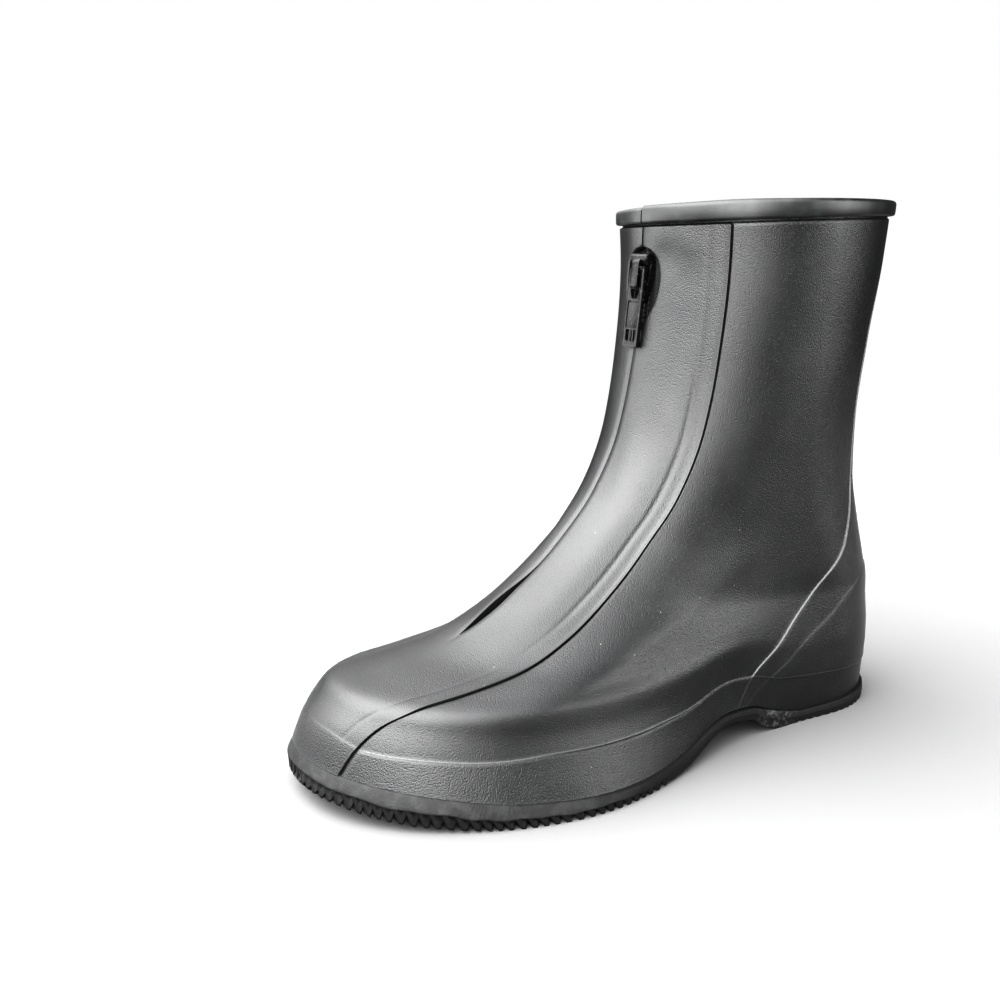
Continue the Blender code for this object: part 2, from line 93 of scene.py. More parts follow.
TOE_SWING, SWING_START, SWING_LENGTH, SWING_TOP = 11.0, -40.0, 110.0, 110.0
INNER_FLAT, INNER_Y, INNER_SPREAD, INNER_TOP = 5.0, -30.0, 60.0, 45.0
SPRING_TOP = 95.0
REAR_START, REAR_LENGTH = -60.0, 160.0
COLLAR_TILT, TILT_START = 0.033, 140.0
LOOP_TURNS = np.linspace(0, math.pi, 541)
REACH = 420                     # distance round from the front centre that the form's table covers
NORMAL_REACH = 0.8

# Steps and lines of the wall
RIM = 255.0
BAND_FOOT = 248.2
STEP = 0.8
CHANNEL = 2.2
PANEL = columns("height half", (
    (0, 27.3), (20, 33.2), (30, 37.2), (42, 46), (53, 50), (66, 49), (110, 43), (255, 46.5)))
COUNTER = columns("height from_back", (
    (0, 128), (18, 122), (49, 101), (68, 84), (92, 58), (126, 42), (255, 36)))
SECOND_LINE = columns("from_back height", (
    (0, 76), (39, 73), (60, 64), (73, 53), (90, 41.5), (108, 20.5), (122, 0)))
FOXING = columns("station height", (
    (0, 16.5), (40, 18.5), (70, 20.5), (100, 18), (140, 19), (180, 20.5), (230, 20.5), (270, 17),
    (312, 14)))
SLIT_FOOT = 64.0
SLIT = columns("height half", (
    (0, 0.12), (64, 0.12), (69, 1.4), (76, 2.2), (86, 0.8), (94, 0.2), (198, 0.2), (203, 4), (213, 11),
    (223, 13), (230, 11.8), (234, 9.2), (236.3, 6), (237.4, 3.4), (238, 0.4), (247, 0.4), (255, 0.3)))
FOXING_PANEL = columns("share height", ((0, 20), (0.45, 19.3), (0.75, 17.5), (1, 16)))
TROUGH = columns("height share", (
    (0, 0.70), (60, 0.76), (85, 0.775), (110, 0.79), (150, 0.81), (255, 0.79)))
RIM_LIFT = columns("arc lift", (
    (-400, 0), (-60, 0), (-25, 0.3), (-0.1, 0.9), (0.1, 1.6), (20, 1.8), (46, 2.2), (54, 2.2), (95, 1.4),
    (165, 0), (400, 0)))
SIDE_SWELL, SWELL_HEIGHT, SWELL_STATION = 4.2, (46.0, 25.0), (122.0, 46.0)

# Sole
SOLE = columns("station feather tread", (
    (0, 8, 2.5), (8, 7.4, 0), (30, 6.5, 0), (58, 6, 0), (75, 8.9, 0), (87, 13, 3.2), (96, 16.2, 9),
    (115, 18, 12.5), (150, 9.5, 2.5), (178, 7.2, 0), (235, 9.5, 0), (280, 16, 3), (312, 21.5, 8.5)))
WELT = {"toe": -156.5, "back": 158.5, "fore": 66.5, "rear": 39.2, "nose": 98.0, "tail": 47.0}
LIP_THICK, LIP_SHARE = 4.6, 0.5
FOOT_INSET, FOOT_DRAFT = 0.15, 0.3
SEAT_GAP, SEAT_EASE, SEAT_STATION, SEAT_SPREAD = 0.3, 0.8, 108.0, 28.0
RIBS = columns("start end pitch deepest", ((5, 66, 5.1, 1.0), (162, 308, 5.2, 3.6)))
RIB_SLOPE, RIB_CREST, RIB_SHARE, RIB_LIMIT = 0.5, 0.88, 0.85, 0.3
PAD_SHARE = 0.4
PADS = ((22.0, 50.0), (192.0, 224.0))

# Zip
ZIP_FOOT, ZIP_TOP = 66.0, 246.0
SLIDER_HEIGHT = 221.0
HINGE_UP = 6.2
TAB_BELOW = 36.0


def smooth(xs, ys, x):
    """Monotone cubic through the points of a table."""
    x = np.asarray(x, float)
    step = np.diff(xs)
    slope = np.diff(ys) / step
    tangent = np.zeros_like(ys)
    tangent[0] = slope[0]
    tangent[-1] = slope[-1]
    for k in range(1, len(ys) - 1):
        if slope[k - 1] * slope[k] > 0:
            near = 2 * step[k] + step[k - 1]
            far = step[k] + 2 * step[k - 1]
            tangent[k] = (near + far) / (near / slope[k - 1] + far / slope[k])
    i = np.clip(np.searchsorted(xs, x) - 1, 0, len(xs) - 2)
    t = np.clip((x - xs[i]) / step[i], 0, 1)
    start = (1 + 2 * t) * (1 - t) ** 2 * ys[i] + t * (1 - t) ** 2 * step[i] * tangent[i]
    end = t * t * (3 - 2 * t) * ys[i + 1] + t * t * (t - 1) * step[i] * tangent[i + 1]
    return start + end


def ease(t):
    """Smooth step from 0 to 1."""
    t = np.clip(t, 0, 1)
    return t * t * (3 - 2 * t)


def ramp(x, start, length):
    """Smooth step from 0 at the start to 1 a length further."""
    return ease((x - start) / length)


def hump(x, middle, spread):
    """Bell of height 1 round a place."""
    return np.exp(-((x - middle) / spread) ** 2)


def fading(height, top):
    """1 at the feather edge, falling evenly to 0 at the height top."""
    return np.clip(1 - height / top, 0, 1)


def section(height):
    """Sizes of the last's sections at the heights given."""
    return {name: smooth(LAST["height"], LAST[name], height) for name in LAST if name != "height"}


def end_round(share, power):
    """Half width, from 0 to 1, over the rounded end of a section."""
    return (1 - (1 - np.clip(share, 0, 1)) ** power) ** (1 / power)


def outline(sec, height, turn, side):
    """x and y along half a section, where turn runs from 0 at the toe to pi at the heel."""
    y = sec["toe"] + (sec["back"] - sec["toe"]) * (1 - np.cos(turn)) / 2
    rear = ease((y - REAR_START) / REAR_LENGTH)
    core = sec["fore"] * (1 - rear) + sec["rear"] * rear
    core = core - WAIST_DIP * hump(y, WAIST_Y, WAIST_SPREAD) * fading(height, WAIST_TOP)
    if side < 0:
        core = core - INNER_FLAT * hump(y, INNER_Y, INNER_SPREAD) * fading(height, INNER_TOP)
    square = fading(height, SQUARE_TOP)
    half = core * end_round((y - sec["toe"]) / sec["nose"], 2 + TOE_SQUARE * square)
    half = half * end_round((sec["back"] - y) / sec["tail"], 2 + HEEL_SQUARE * square)
    swing = TOE_SWING * np.clip((SWING_START - y) / SWING_LENGTH, 0, 1) ** 2
    centre = (BALL_SWELL * hump(y, BALL_Y, BALL_SPREAD) - swing) * fading(height, SWING_TOP)
    return centre + side * half, y


def along(name, y):
    """Sole height at places along the foot: the feather edge or the tread."""
    return smooth(SOLE["station"], SOLE[name], np.clip(HEEL_BACK - y, 0, FOOT_LENGTH))


def lift(height, y):
    """Height over the floor of a point of the upper."""
    return height + ease(fading(height, SPRING_TOP)) * along("feather", y)


def loop(height):
    """One whole section: distance round from the front centre, x and y, carried on past the back."""
    sec = section(np.array(height))
    halves = {side: outline(sec, height, LOOP_TURNS, side) for side in (-1, 1)}
    runs = {}
    for side, (x, y) in halves.items():
        runs[side] = np.concatenate([[0], np.cumsum(np.hypot(np.diff(x), np.diff(y)))])
    run = np.concatenate([-runs[-1][:0:-1], runs[1]])
    x, y = (np.concatenate([halves[-1][k][:0:-1], halves[1][k]]) for k in (0, 1))
    length = run[-1] - run[0]
    run = np.concatenate([run[:-1] - length, run, run[1:] + length])
    x, y = (np.concatenate([v[:-1], v, v[1:]]) for v in (x, y))
    return run, x, y, runs[-1][-1], runs[1][-1]


def form_table():
    """Tables of x and y over height and distance round, and of the length of each half section."""
    arcs = np.arange(-REACH, REACH + 1)
    xs, ys, inner, outer = [], [], [], []
    for height in np.arange(RIM + 1):
        run, x, y, inner_half, outer_half = loop(height)
        xs.append(np.interp(arcs, run, x))
        ys.append(np.interp(arcs, run, y))
        inner.append(inner_half)
        outer.append(outer_half)
    return np.array(xs), np.array(ys), np.array(inner), np.array(outer)


FORM_X, FORM_Y, INNER_HALF, OUTER_HALF = form_table()


def cubic(t):
    """Weights of four neighbours in a smooth reading between the middle two."""
    return (
        ((-0.5 * t + 1.0) * t - 0.5) * t, (1.5 * t - 2.5) * t * t + 1.0,
        ((-1.5 * t + 2.0) * t + 0.5) * t, (0.5 * t - 0.5) * t * t)


def read(table, row, column):
    """Smooth reading of a table at broken rows and columns."""
    r = np.clip(np.floor(row).astype(int), 0, table.shape[0] - 2)
    c = np.clip(np.floor(column).astype(int), 1, table.shape[1] - 3)
    total = np.zeros(np.broadcast(row, column).shape)
    column_weights = cubic(column - c)
    for i, across in enumerate(cubic(row - r)):
        level_row = np.clip(r + i - 1, 0, table.shape[0] - 1)
        for j, weight in enumerate(column_weights):
            total = total + across * weight * table[level_row, c + j - 1]
    return total


def half_loop(height, side):
    """Length of half a section, from the front centre to the back."""
    return np.interp(height, np.arange(RIM + 1), OUTER_HALF if side > 0 else INNER_HALF)


def surface(height, arc):
    """Points of the last at heights and signed distances round from the front centre."""
    height, arc = np.broadcast_arrays(np.asarray(height, float), np.asarray(arc, float))
    x = read(FORM_X, height, arc + REACH)
    y = read(FORM_Y, height, arc + REACH)
    tilt = COLLAR_TILT * ease((height - TILT_START) / (RIM - TILT_START))
    return np.stack([x, y, lift(height, y) + tilt * x], axis=-1)


def unit(vectors):
    """Vectors scaled to length 1."""
    return vectors / np.linalg.norm(vectors, axis=-1, keepdims=True)


def normals(height, arc):
    """Outward directions of the last."""
    round_way = surface(height, arc + NORMAL_REACH) - surface(height, arc - NORMAL_REACH)
    low = np.maximum(height - NORMAL_REACH, 0)
    high = np.minimum(height + NORMAL_REACH, RIM)
    return unit(np.cross(round_way, surface(high, arc) - surface(low, arc)))


def metres(points):
    """Points of the last's frame in metres round the overshoe's middle."""
    return (np.asarray(points, float) - (FRAME_X, FRAME_Y, 0)) * MM


# Settings
class UpperSettings(bpy.types.PropertyGroup):
    """Sizes of the rubber upper and its lining."""
    wall: FloatProperty(
        name="Wall", description="Thickness of the wall with its lining", default=0.0022, unit="LENGTH")
    lining: FloatProperty(
        name="Lining", description="Thickness of the knitted lining", default=0.0006, unit="LENGTH")
    panel_rise: FloatProperty(
        name="Panel Rise", description="Height of the front panel over the sides", default=0.0011,
        unit="LENGTH")
    channel_depth: FloatProperty(
        name="Channel Depth", description="Depth of the groove along the front panel", default=0.0007,
        unit="LENGTH")
    foxing_rise: FloatProperty(
        name="Foxing Rise", description="Height of the band over the sole", default=0.0005, unit="LENGTH")
    counter_rise: FloatProperty(
        name="Counter Rise", description="Height of the heel counter and back stay", default=0.0007,
        unit="LENGTH")
    zip_ridge: FloatProperty(
        name="Zip Ridge", description="Fall of the panel beside the zip's tapes", default=0.0012,
        unit="LENGTH")
    crease: FloatProperty(
        name="Crease", description="Depth of the main creases", default=0.0010, unit="LENGTH")


class FinishSettings(bpy.types.PropertyGroup):
    """Colours and grain of the materials."""
    rubber: FloatVectorProperty(
        name="Rubber", description="Colour of the upper", default=(0.0045, 0.0047, 0.0050), subtype="COLOR")
    sole: FloatVectorProperty(
        name="Sole", description="Colour of the sole", default=(0.0055, 0.0055, 0.0058), subtype="COLOR")
    dust: FloatVectorProperty(
        name="Dust", description="Colour of dust on edges and in grooves", default=(0.42, 0.43, 0.42),
        subtype="COLOR")
    lining: FloatVectorProperty(
        name="Lining", description="Colour of the lining", default=(0.030, 0.030, 0.032), subtype="COLOR")
    tape: FloatVectorProperty(
        name="Tape", description="Colour of the zip's tapes", default=(0.003, 0.003, 0.003),
        subtype="COLOR")
    teeth: FloatVectorProperty(
        name="Teeth", description="Colour of the zip's teeth", default=(0.005, 0.005, 0.0052),
        subtype="COLOR")
    enamel: FloatVectorProperty(
        name="Enamel", description="Colour of slider and pull tab", default=(0.003, 0.003, 0.0032),
        subtype="COLOR")
    grain: FloatProperty(
        name="Grain", description="Size of the rubber's pebble grain", default=0.00052, unit="LENGTH")
    grain_depth: FloatProperty(
        name="Grain Depth", description="Depth of the rubber's pebble grain", default=0.0001, unit="LENGTH")
    roughness: FloatProperty(
        name="Roughness", description="Roughness of the rubber", default=0.29, min=0, max=1,
        subtype="FACTOR")
    dustiness: FloatProperty(
        name="Dustiness", description="Amount of dust", default=1.0, min=0, max=2, subtype="FACTOR")


class StageSettings(bpy.types.PropertyGroup):
    """Floor, lights and camera."""
    floor: FloatVectorProperty(
        name="Floor", description="Colour of the floor", default=(0.1, 0.1, 0.1), subtype="COLOR")
    dome: FloatProperty(
        name="Dome", description="Strength of the soft light above the toe", default=22.0, min=0)
    side: FloatProperty(
        name="Side", description="Strength of the soft light at the outer side", default=13.0, min=0)
    back: FloatProperty(
        name="Back", description="Strength of the soft light behind the heel", default=12.0, min=0)
    inner: FloatProperty(
        name="Inner", description="Strength of the soft light at the inner side", default=2.6, min=0)
    front: FloatProperty(
        name="Front", description="Strength of the low light before the toe", default=8.0, min=0)
    key: FloatProperty(name="Key", description="Power of the key light", default=4.0, unit="POWER")
    lens: FloatProperty(name="Lens", description="Focal length in millimetres", default=46.52)


class OvershoeSettings(bpy.types.PropertyGroup):
    """All the settings of the overshoe."""
    upper: PointerProperty(type=UpperSettings)
    finish: PointerProperty(type=FinishSettings)
    stage: PointerProperty(type=StageSettings)


def settings():
    """Settings kept on the scene."""
    return bpy.context.scene.overshoe


# Materials
class Wire:
    """Socket in a node tree; sums and products of wires add Math nodes."""

    def __init__(self, graph, socket):
        self.graph = graph
        self.socket = socket

    def math(self, operation, first, second=0.0):
        """Wire from a Math node."""
        return self.graph.node("ShaderNodeMath", {"operation": operation}, {0: first, 1: second})

    def __add__(self, other):
        return self.math("ADD", self, other)

    def __radd__(self, other):
        return self.math("ADD", other, self)

    def __sub__(self, other):
        return self.math("SUBTRACT", self, other)

    def __rsub__(self, other):
        return self.math("SUBTRACT", other, self)

    def __mul__(self, other):
        return self.math("MULTIPLY", self, other)

    def __rmul__(self, other):
        return self.math("MULTIPLY", other, self)

    def __abs__(self):
        return self.math("ABSOLUTE", self)

    def most(self, other):
        """Larger of two values."""
        return self.math("MAXIMUM", self, other)

    def sine(self):
        """Sine of the value."""
        return self.math("SINE", self)

    def rise(self, low, high):
        """Smooth step from 0 at low to 1 at high."""
        options = {"interpolation_type": "SMOOTHSTEP"}
        if low > high:
            return 1 - self.rise(high, low)
        return self.graph.node("ShaderNodeMapRange", options, {0: self, 1: low, 2: high, 3: 0.0, 4: 1.0})


class Graph:
    """Node tree of a material or a world."""

    def __init__(self, tree):
        self.tree = tree

    def node(self, kind, options=None, sockets=None, out=0):
        """Wire from a new node: its options are set first, then the values or links of its sockets."""
        made = self.tree.nodes.new(kind)
        for name, value in (options or {}).items():
            setattr(made, name, value)
        for key, value in (sockets or {}).items():
            if isinstance(value, Wire):
                self.tree.links.new(value.socket, made.inputs[key])
            else:
                made.inputs[key].default_value = value
        return Wire(self, made.outputs[out])

    def place(self):
        """Position on the object, in metres."""
        return self.node("ShaderNodeTexCoord", out="Object")

    def attribute(self, name):
        """Value kept on the mesh's points."""
        return self.node("ShaderNodeAttribute", {"attribute_name": name}, out="Fac")

    def place_along(self, axis):
        """Position along one of the object's axes, in metres."""
        return self.node("ShaderNodeSeparateXYZ", None, {0: self.place()}, axis)

    def noise(self, size, detail=2.0):
        """Cloudy noise with blobs of a size in metres."""
        sockets = {"Vector": self.place(), "Scale": 1 / size, "Detail": detail}
        return self.node("ShaderNodeTexNoise", None, sockets, "Fac")

    def cells(self, size, out="Distance"):
        """Cells of a size in metres."""
        sockets = {"Vector": self.place(), "Scale": 1 / size}
        return self.node("ShaderNodeTexVoronoi", None, sockets, out)

    def mix(self, share, first, second):
        """Mix of two colours."""
        sockets = {0: share, 6: first, 7: second}
        return self.node("ShaderNodeMix", {"data_type": "RGBA"}, sockets, 2)

    def bump(self, height, depth):
        """Normal of a surface with bumps of a depth in metres."""
        sockets = {"Height": height, "Distance": depth, "Strength": 1.0}
        return self.node("ShaderNodeBump", None, sockets, "Normal")


def material(name, paint):
    """Material whose Principled sockets come from the function paint, which is given its graph."""
    made = bpy.data.materials.new(name)
    made.use_nodes = True
    graph = Graph(made.node_tree)
    shader = made.node_tree.nodes["Principled BSDF"]
    for key, value in paint(graph).items():
        if isinstance(value, Wire):
            made.node_tree.links.new(value.socket, shader.inputs[key])
        else:
            shader.inputs[key].default_value = value
    return made


def opaque(colour):
    """Colour with full alpha."""
    return (*colour, 1.0)


def pebble(graph, size):
    """Moulded pebble grain, from 0 in the valleys to 1 on the crests."""
    cell = graph.cells(size)
    return 1 - cell * cell + (graph.noise(size * 0.6, 1.0) - 0.5) * 0.5


def specks(graph, size, amount):
    """Sparse grains of dust: cells whose random value passes the amount show a dot at their middle."""
    near = graph.cells(size).rise(0.06, 0.03)
    chosen = graph.cells(size, out="Color")
    share = graph.node("ShaderNodeSeparateColor", None, {0: chosen})
    return near * share.rise(1 - amount, 1.0 - amount + 0.02)


# Dust on the upper: sizes in metres, the width of each line in millimetres, and shares of dust
COUNTER_DUST, SECOND_DUST, FOXING_DUST_WIDTH = (0.7, 0.10), (1.2, 0.03), 0.45
FOXING_COARSER, FOXING_DEEPER = 1.2, 1.15
CLOUD_SIZE, PATCH_SIZE = 0.05, 0.012
SPECK_SPACING, SPECK_SHARE, SPECK_DUST = 0.007, 0.25, 0.2


def dusty_line(gap, width, amount):
    """Dust along a line, thickest on it and gone at the width given."""
    return abs(gap).rise(width, 0.1) * amount


def upper_rubber(graph):
    """Satin black rubber with dusty steps: pebble grain, coarser on the foxing, faint on the collar."""
    look = settings().finish
    foxing = graph.attribute("foxing_gap")
    counter = graph.attribute("counter_gap")
    second = graph.attribute("second_gap")
    panel = graph.attribute("panel_gap")
    band = graph.attribute("band_gap").rise(-0.4, 0.2)
    low = foxing.rise(0.3, -0.3)
    fine = pebble(graph, look.grain)
    coarse = pebble(graph, look.grain * FOXING_COARSER)
    grain = (fine * (1 - low) + coarse * low * FOXING_DEEPER) * (1 - band * 0.85)
    cloud = graph.noise(CLOUD_SIZE, 3.0)
    patch = graph.noise(PATCH_SIZE, 3.0)
    on_side = panel.rise(3.0, 4.0)
    first_line = dusty_line(counter + 0.35, *COUNTER_DUST) * (1 - low * 0.55)
    second_line = dusty_line(second, *SECOND_DUST) * (1 - low * 0.6)
    foxing_line = dusty_line(foxing - 0.1, FOXING_DUST_WIDTH, 0.006 + on_side * 0.05)
    lines = first_line.most(second_line).most(foxing_line) * (1 - band)
    film = patch.rise(0.45, 0.8) * (0.006 + band * 0.025) + cloud.rise(0.4, 0.75) * 0.006
    dust = (lines + film + specks(graph, SPECK_SPACING, SPECK_SHARE) * SPECK_DUST) * look.dustiness
    return {
        "Base Color": graph.mix(dust, opaque(look.rubber), opaque(look.dust)),
        "Roughness": look.roughness + (cloud - 0.5) * 0.10 + dust * 0.25 + band * 0.1,
        "Normal": graph.bump(grain, look.grain_depth),
        "Specular IOR Level": 0.45,
    }


SMEAR_PLACE, SMEAR_REACH = (0.036, 0.076, 0.009), 0.017
HEEL_LINE = (0.05, 0.07)


def sole_rubber(graph):
    """Dull black rubber with dust on its lip and in its grooves, and a pale smear before the heel."""
    look = settings().finish
    cloud = graph.noise(0.03, 3.0)
    fine = graph.noise(0.0012, 2.0)
    lip = graph.attribute("lip").rise(0.2, 0.8)
    patch = graph.noise(0.005, 4.0).rise(0.42, 0.7)
    film = (0.002 + cloud.rise(0.3, 0.7) * 0.006 + patch * 0.014) * lip + patch * 0.003
    gap = graph.node(
        "ShaderNodeVectorMath", {"operation": "DISTANCE"}, {0: graph.place(), 1: SMEAR_PLACE}, "Value")
    smear = gap.rise(SMEAR_REACH, 0.004) * graph.noise(0.0022, 4.0).rise(0.42, 0.68)
    film = film + smear * 0.09 + lip * graph.place_along("Y").rise(*HEEL_LINE) * 0.09
    dust = (film + specks(graph, 0.006, 0.25) * 0.3) * look.dustiness
    return {
        "Base Color": graph.mix(dust, opaque(look.sole), opaque(look.dust)),
        "Roughness": 0.52 + (cloud - 0.5) * 0.15 + dust * 0.3,
        "Normal": graph.bump(fine, 0.00016),
        "Specular IOR Level": 0.22,
    }


WALE_PITCH, COURSE_PITCH = 1.3, 0.0011      # in the mesh's millimetres, and in metres


def knit(graph):
    """Dark knitted lining: fine ribs crossed by courses."""
    look = settings().finish
    wales = (graph.attribute("across") * (2 * math.pi / WALE_PITCH)).sine()
    courses = (graph.place_along("Z") * (2 * math.pi / COURSE_PITCH)).sine()
    loops = wales * courses * 0.5 + 0.5
    cloud = graph.noise(0.02, 3.0)
    dark = [0.55 * c for c in look.lining]
    return {
        "Base Color": graph.mix(loops * 0.6 + cloud * 0.4, opaque(dark), opaque(look.lining)),
        "Roughness": 0.85 + (cloud - 0.5) * 0.1,
        "Normal": graph.bump(loops, 0.00018),
        "Sheen Weight": 0.2,
    }


TWILL_PITCH, THREAD_PITCH = 1.5, 0.55       # in the mesh's millimetres


def twill(graph):
    """Woven zip tape with a diagonal twill."""
    look = settings().finish
    across = graph.attribute("across")
    up = graph.attribute("up")
    diagonal = ((across * 0.8 - up) * (2 * math.pi / TWILL_PITCH)).sine().rise(0.0, 0.8)
    threads = ((across + up * 0.7) * (2 * math.pi / THREAD_PITCH)).sine() * 0.5 + 0.5
    weave = diagonal * 0.75 + threads * 0.25
    pale = [10.0 * c for c in look.tape]
    return {
        "Base Color": graph.mix(weave, opaque(look.tape), opaque(pale)),
        "Roughness": 0.85 - weave * 0.1,
        "Normal": graph.bump(weave, 0.0003),
        "Specular IOR Level": 0.06,
    }


def tooth_plastic(graph):
    """Black moulded teeth."""
    look = settings().finish
    cloud = graph.noise(0.003, 2.0)
    return {
        "Base Color": graph.mix(cloud.rise(0.4, 0.8) * 0.02, opaque(look.teeth), opaque(look.dust)),
        "Roughness": 0.42 + cloud * 0.14,
        "Normal": graph.bump(graph.noise(0.0006), 0.00004),
        "Specular IOR Level": 0.12,
    }


def gloss_enamel(graph):
    """Gloss black enamel over a casting, a little worn and dusty."""
    look = settings().finish
    ripple = graph.noise(0.0035, 2.0)
    worn = graph.noise(0.0016, 3.0).rise(0.58, 0.75)
    return {
        "Base Color": graph.mix(worn * 0.06, opaque(look.enamel), opaque(look.dust)),
        "Roughness": 0.12 + worn * 0.14,
        "Normal": graph.bump(ripple, 0.0001),
        "Specular IOR Level": 0.2,
    }


def floor_paper(graph):
    """Pale seamless paper that fades out into the light behind it."""
    look = settings().stage
    shade = [0.985 * c for c in look.floor]
    radius = graph.node("ShaderNodeVectorMath", {"operation": "LENGTH"}, {0: graph.place()}, "Value")
    return {
        "Base Color": graph.mix(graph.noise(0.4, 3.0), opaque(look.floor), opaque(shade)),
        "Roughness": 0.9,
        "Alpha": radius.rise(FLOOR_FADE[1], FLOOR_FADE[0]),
    }


FINISHES = {
    "rubber_upper": upper_rubber, "rubber_sole": sole_rubber, "lining": knit, "tape": twill,
    "zip_teeth": tooth_plastic, "zip_metal": gloss_enamel,
}


def finish(slot):
    """Material of one of the record's slots, made once."""
    name = slot + "_look"
    return bpy.data.materials.get(name) or material(name, FINISHES[slot])


# Meshes
def new_object(name, points, faces, values=None):
    """Smooth-shaded mesh object, with values kept on its points; points are in metres."""
    mesh = bpy.data.meshes.new(name)
    mesh.from_pydata(np.asarray(points).tolist(), [], faces)
    for key, numbers in (values or {}).items():
        layer = mesh.attributes.new(key, "FLOAT", "POINT")
        layer.data.foreach_set("value", np.ravel(numbers).astype(np.float32))
    work = bmesh.new()
    work.from_mesh(mesh)
    bmesh.ops.recalc_face_normals(work, faces=work.faces)
    work.to_mesh(mesh)
    work.free()
    mesh.shade_smooth()
    obj = bpy.data.objects.new(name, mesh)
    bpy.context.scene.collection.objects.link(obj)
    return obj


def dress(obj, slot, body, *nodes):
    """Give a piece its finish and its body, and hide the nodes that it stands for."""
    obj.data.materials.clear()
    obj.data.materials.append(finish(slot))
    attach(obj, body)
    if nodes:
        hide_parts(*nodes)
    return obj


def grid_faces(rows, count, closed):
    """Quads of a grid whose rows hold count points; closed joins the last column to the first."""
    last = count if closed else count - 1
    return [
        (r * count + c, r * count + (c + 1) % count, (r + 1) * count + (c + 1) % count, (r + 1) * count + c)
        for r in range(rows - 1) for c in range(last)]


# Upper
FRONT_SHARES = np.concatenate([
    [0, 0.012, 0.03, 0.055], np.linspace(0.085, 0.66, 19), np.linspace(0.685, 0.86, 12),
    [0.89, 0.93, 0.97, 0.985, 0.993, 0.998]])
CHANNEL_SHARES = (0.03, 0.1, 0.17, 0.25, 0.34, 0.46, 0.64)
SIDE_COLUMNS, COUNTER_COLUMNS = 96, 38
STEP_SHARES = (0.3, 0.6)
FOOT_ROWS = 13
ROW_ZONES = (
    (SLIT_FOOT, 29), (84.0, 14), (124.0, 24), (198.0, 38), (230.0, 22), (238.0, 14), (BAND_FOOT - 1.5, 6))
RIM_PROFILE = columns("height rise", (
    (BAND_FOOT - 1.0, -0.6), (BAND_FOOT - 0.5, -0.9), (BAND_FOOT, -0.9), (BAND_FOOT + 0.1, 1.3),
    (BAND_FOOT + 0.4, 2.1),
    (BAND_FOOT + 1.1, 2.4), (BAND_FOOT + 3.2, 2.45), (RIM - 1.6, 2.4), (RIM - 0.9, 2.2), (RIM - 0.4, 1.8),
    (RIM - 0.1, 1.2), (RIM, 0.4), (RIM, -0.6), (RIM - 0.2, -1.2), (RIM - 0.7, -1.6)))
INNER_STEP = 4                  # rows of the outer face for each row of the inner one
UPPER_SHARP = 60
CREASES = columns("start_height start_arc end_height end_arc width depth", (
    (150, 4, 118, 9, 5, 0.25), (240, 12, 226, 23, 8, 0.5), (112, -14, 96, -30, 7, 0.4),
    (128, 60, 108, 82, 12, 0.35), (140, -64, 112, -88, 12, 0.4)))
CREASE_BANK, BANK_PLACE, CREASE_END = 0.45, 1.6, 0.35


def upper_columns():
    """Zone and share of each column of half the upper, from the slit to the back."""
    places = [("front", share) for share in FRONT_SHARES]
    places += [("channel", share) for share in CHANNEL_SHARES]
    places += [("side", k / SIDE_COLUMNS) for k in range(SIDE_COLUMNS + 1)]
    places += [("step", share) for share in STEP_SHARES]
    places += [("counter", k / COUNTER_COLUMNS) for k in range(COUNTER_COLUMNS + 1)]
    return places


def column_arc(zone, share, height, half):
    """Distance of a column from the front centre, for each of its heights."""
    edge = smooth(PANEL["height"], PANEL["half"], height)
    counter = half - smooth(COUNTER["height"], COUNTER["from_back"], height)
    spans = {
        "front": (smooth(SLIT["height"], SLIT["half"], height), edge),
        "channel": (edge, edge + CHANNEL),
        "side": (edge + CHANNEL, counter - STEP),
        "step": (counter - STEP, counter),
        "counter": (counter, half),
    }
    start, end = spans[zone]
    return start + (end - start) * share


def row_heights(foxing):
    """Heights of the wall's rows under the collar band, for a foxing edge at the height given."""
    rows = list(np.linspace(0, foxing - STEP, FOOT_ROWS))
    rows += [foxing - STEP * 0.6, foxing - STEP * 0.3, foxing]
    start = foxing
    for top, steps in ROW_ZONES:
        rows += [start + (top - start) * k / steps for k in range(1, steps + 1)]
        start = top
    return np.array(rows)


def foxing_height(zone, share, side):
    """Height of the foxing's edge on a column, from where the column meets the feather edge."""
    if zone == "front":
        return float(smooth(FOXING_PANEL["share"], FOXING_PANEL["height"], share))
    base = side * column_arc(zone, share, np.zeros(1), half_loop(0, side))
    station = HEEL_BACK - surface(np.zeros(1), base)[0, 1]
    edge = float(smooth(FOXING["station"], FOXING["height"], np.clip(station, 0, FOOT_LENGTH)))
    if zone == "channel":
        return FOXING_PANEL["height"][-1] * (1 - share) + edge * share
    return edge


def upper_grid():
    """Heights, signed distances and foxing heights of the wall's grid, column by column round the loop."""
    heights, arcs, foxings = [], [], []
    for side in (-1, 1):
        for zone, share in upper_columns():
            foxing = foxing_height(zone, share, side)
            height = np.concatenate([row_heights(foxing), RIM_PROFILE["height"]])
            heights.append(height)
            arcs.append(side * column_arc(zone, share, height, half_loop(height, side)))
            foxings.append(np.full(len(height), foxing))
    half = len(upper_columns())
    order = list(range(half - 2, -1, -1)) + list(range(half, 2 * half))
    return [np.array(block)[order].T for block in (heights, arcs, foxings)]


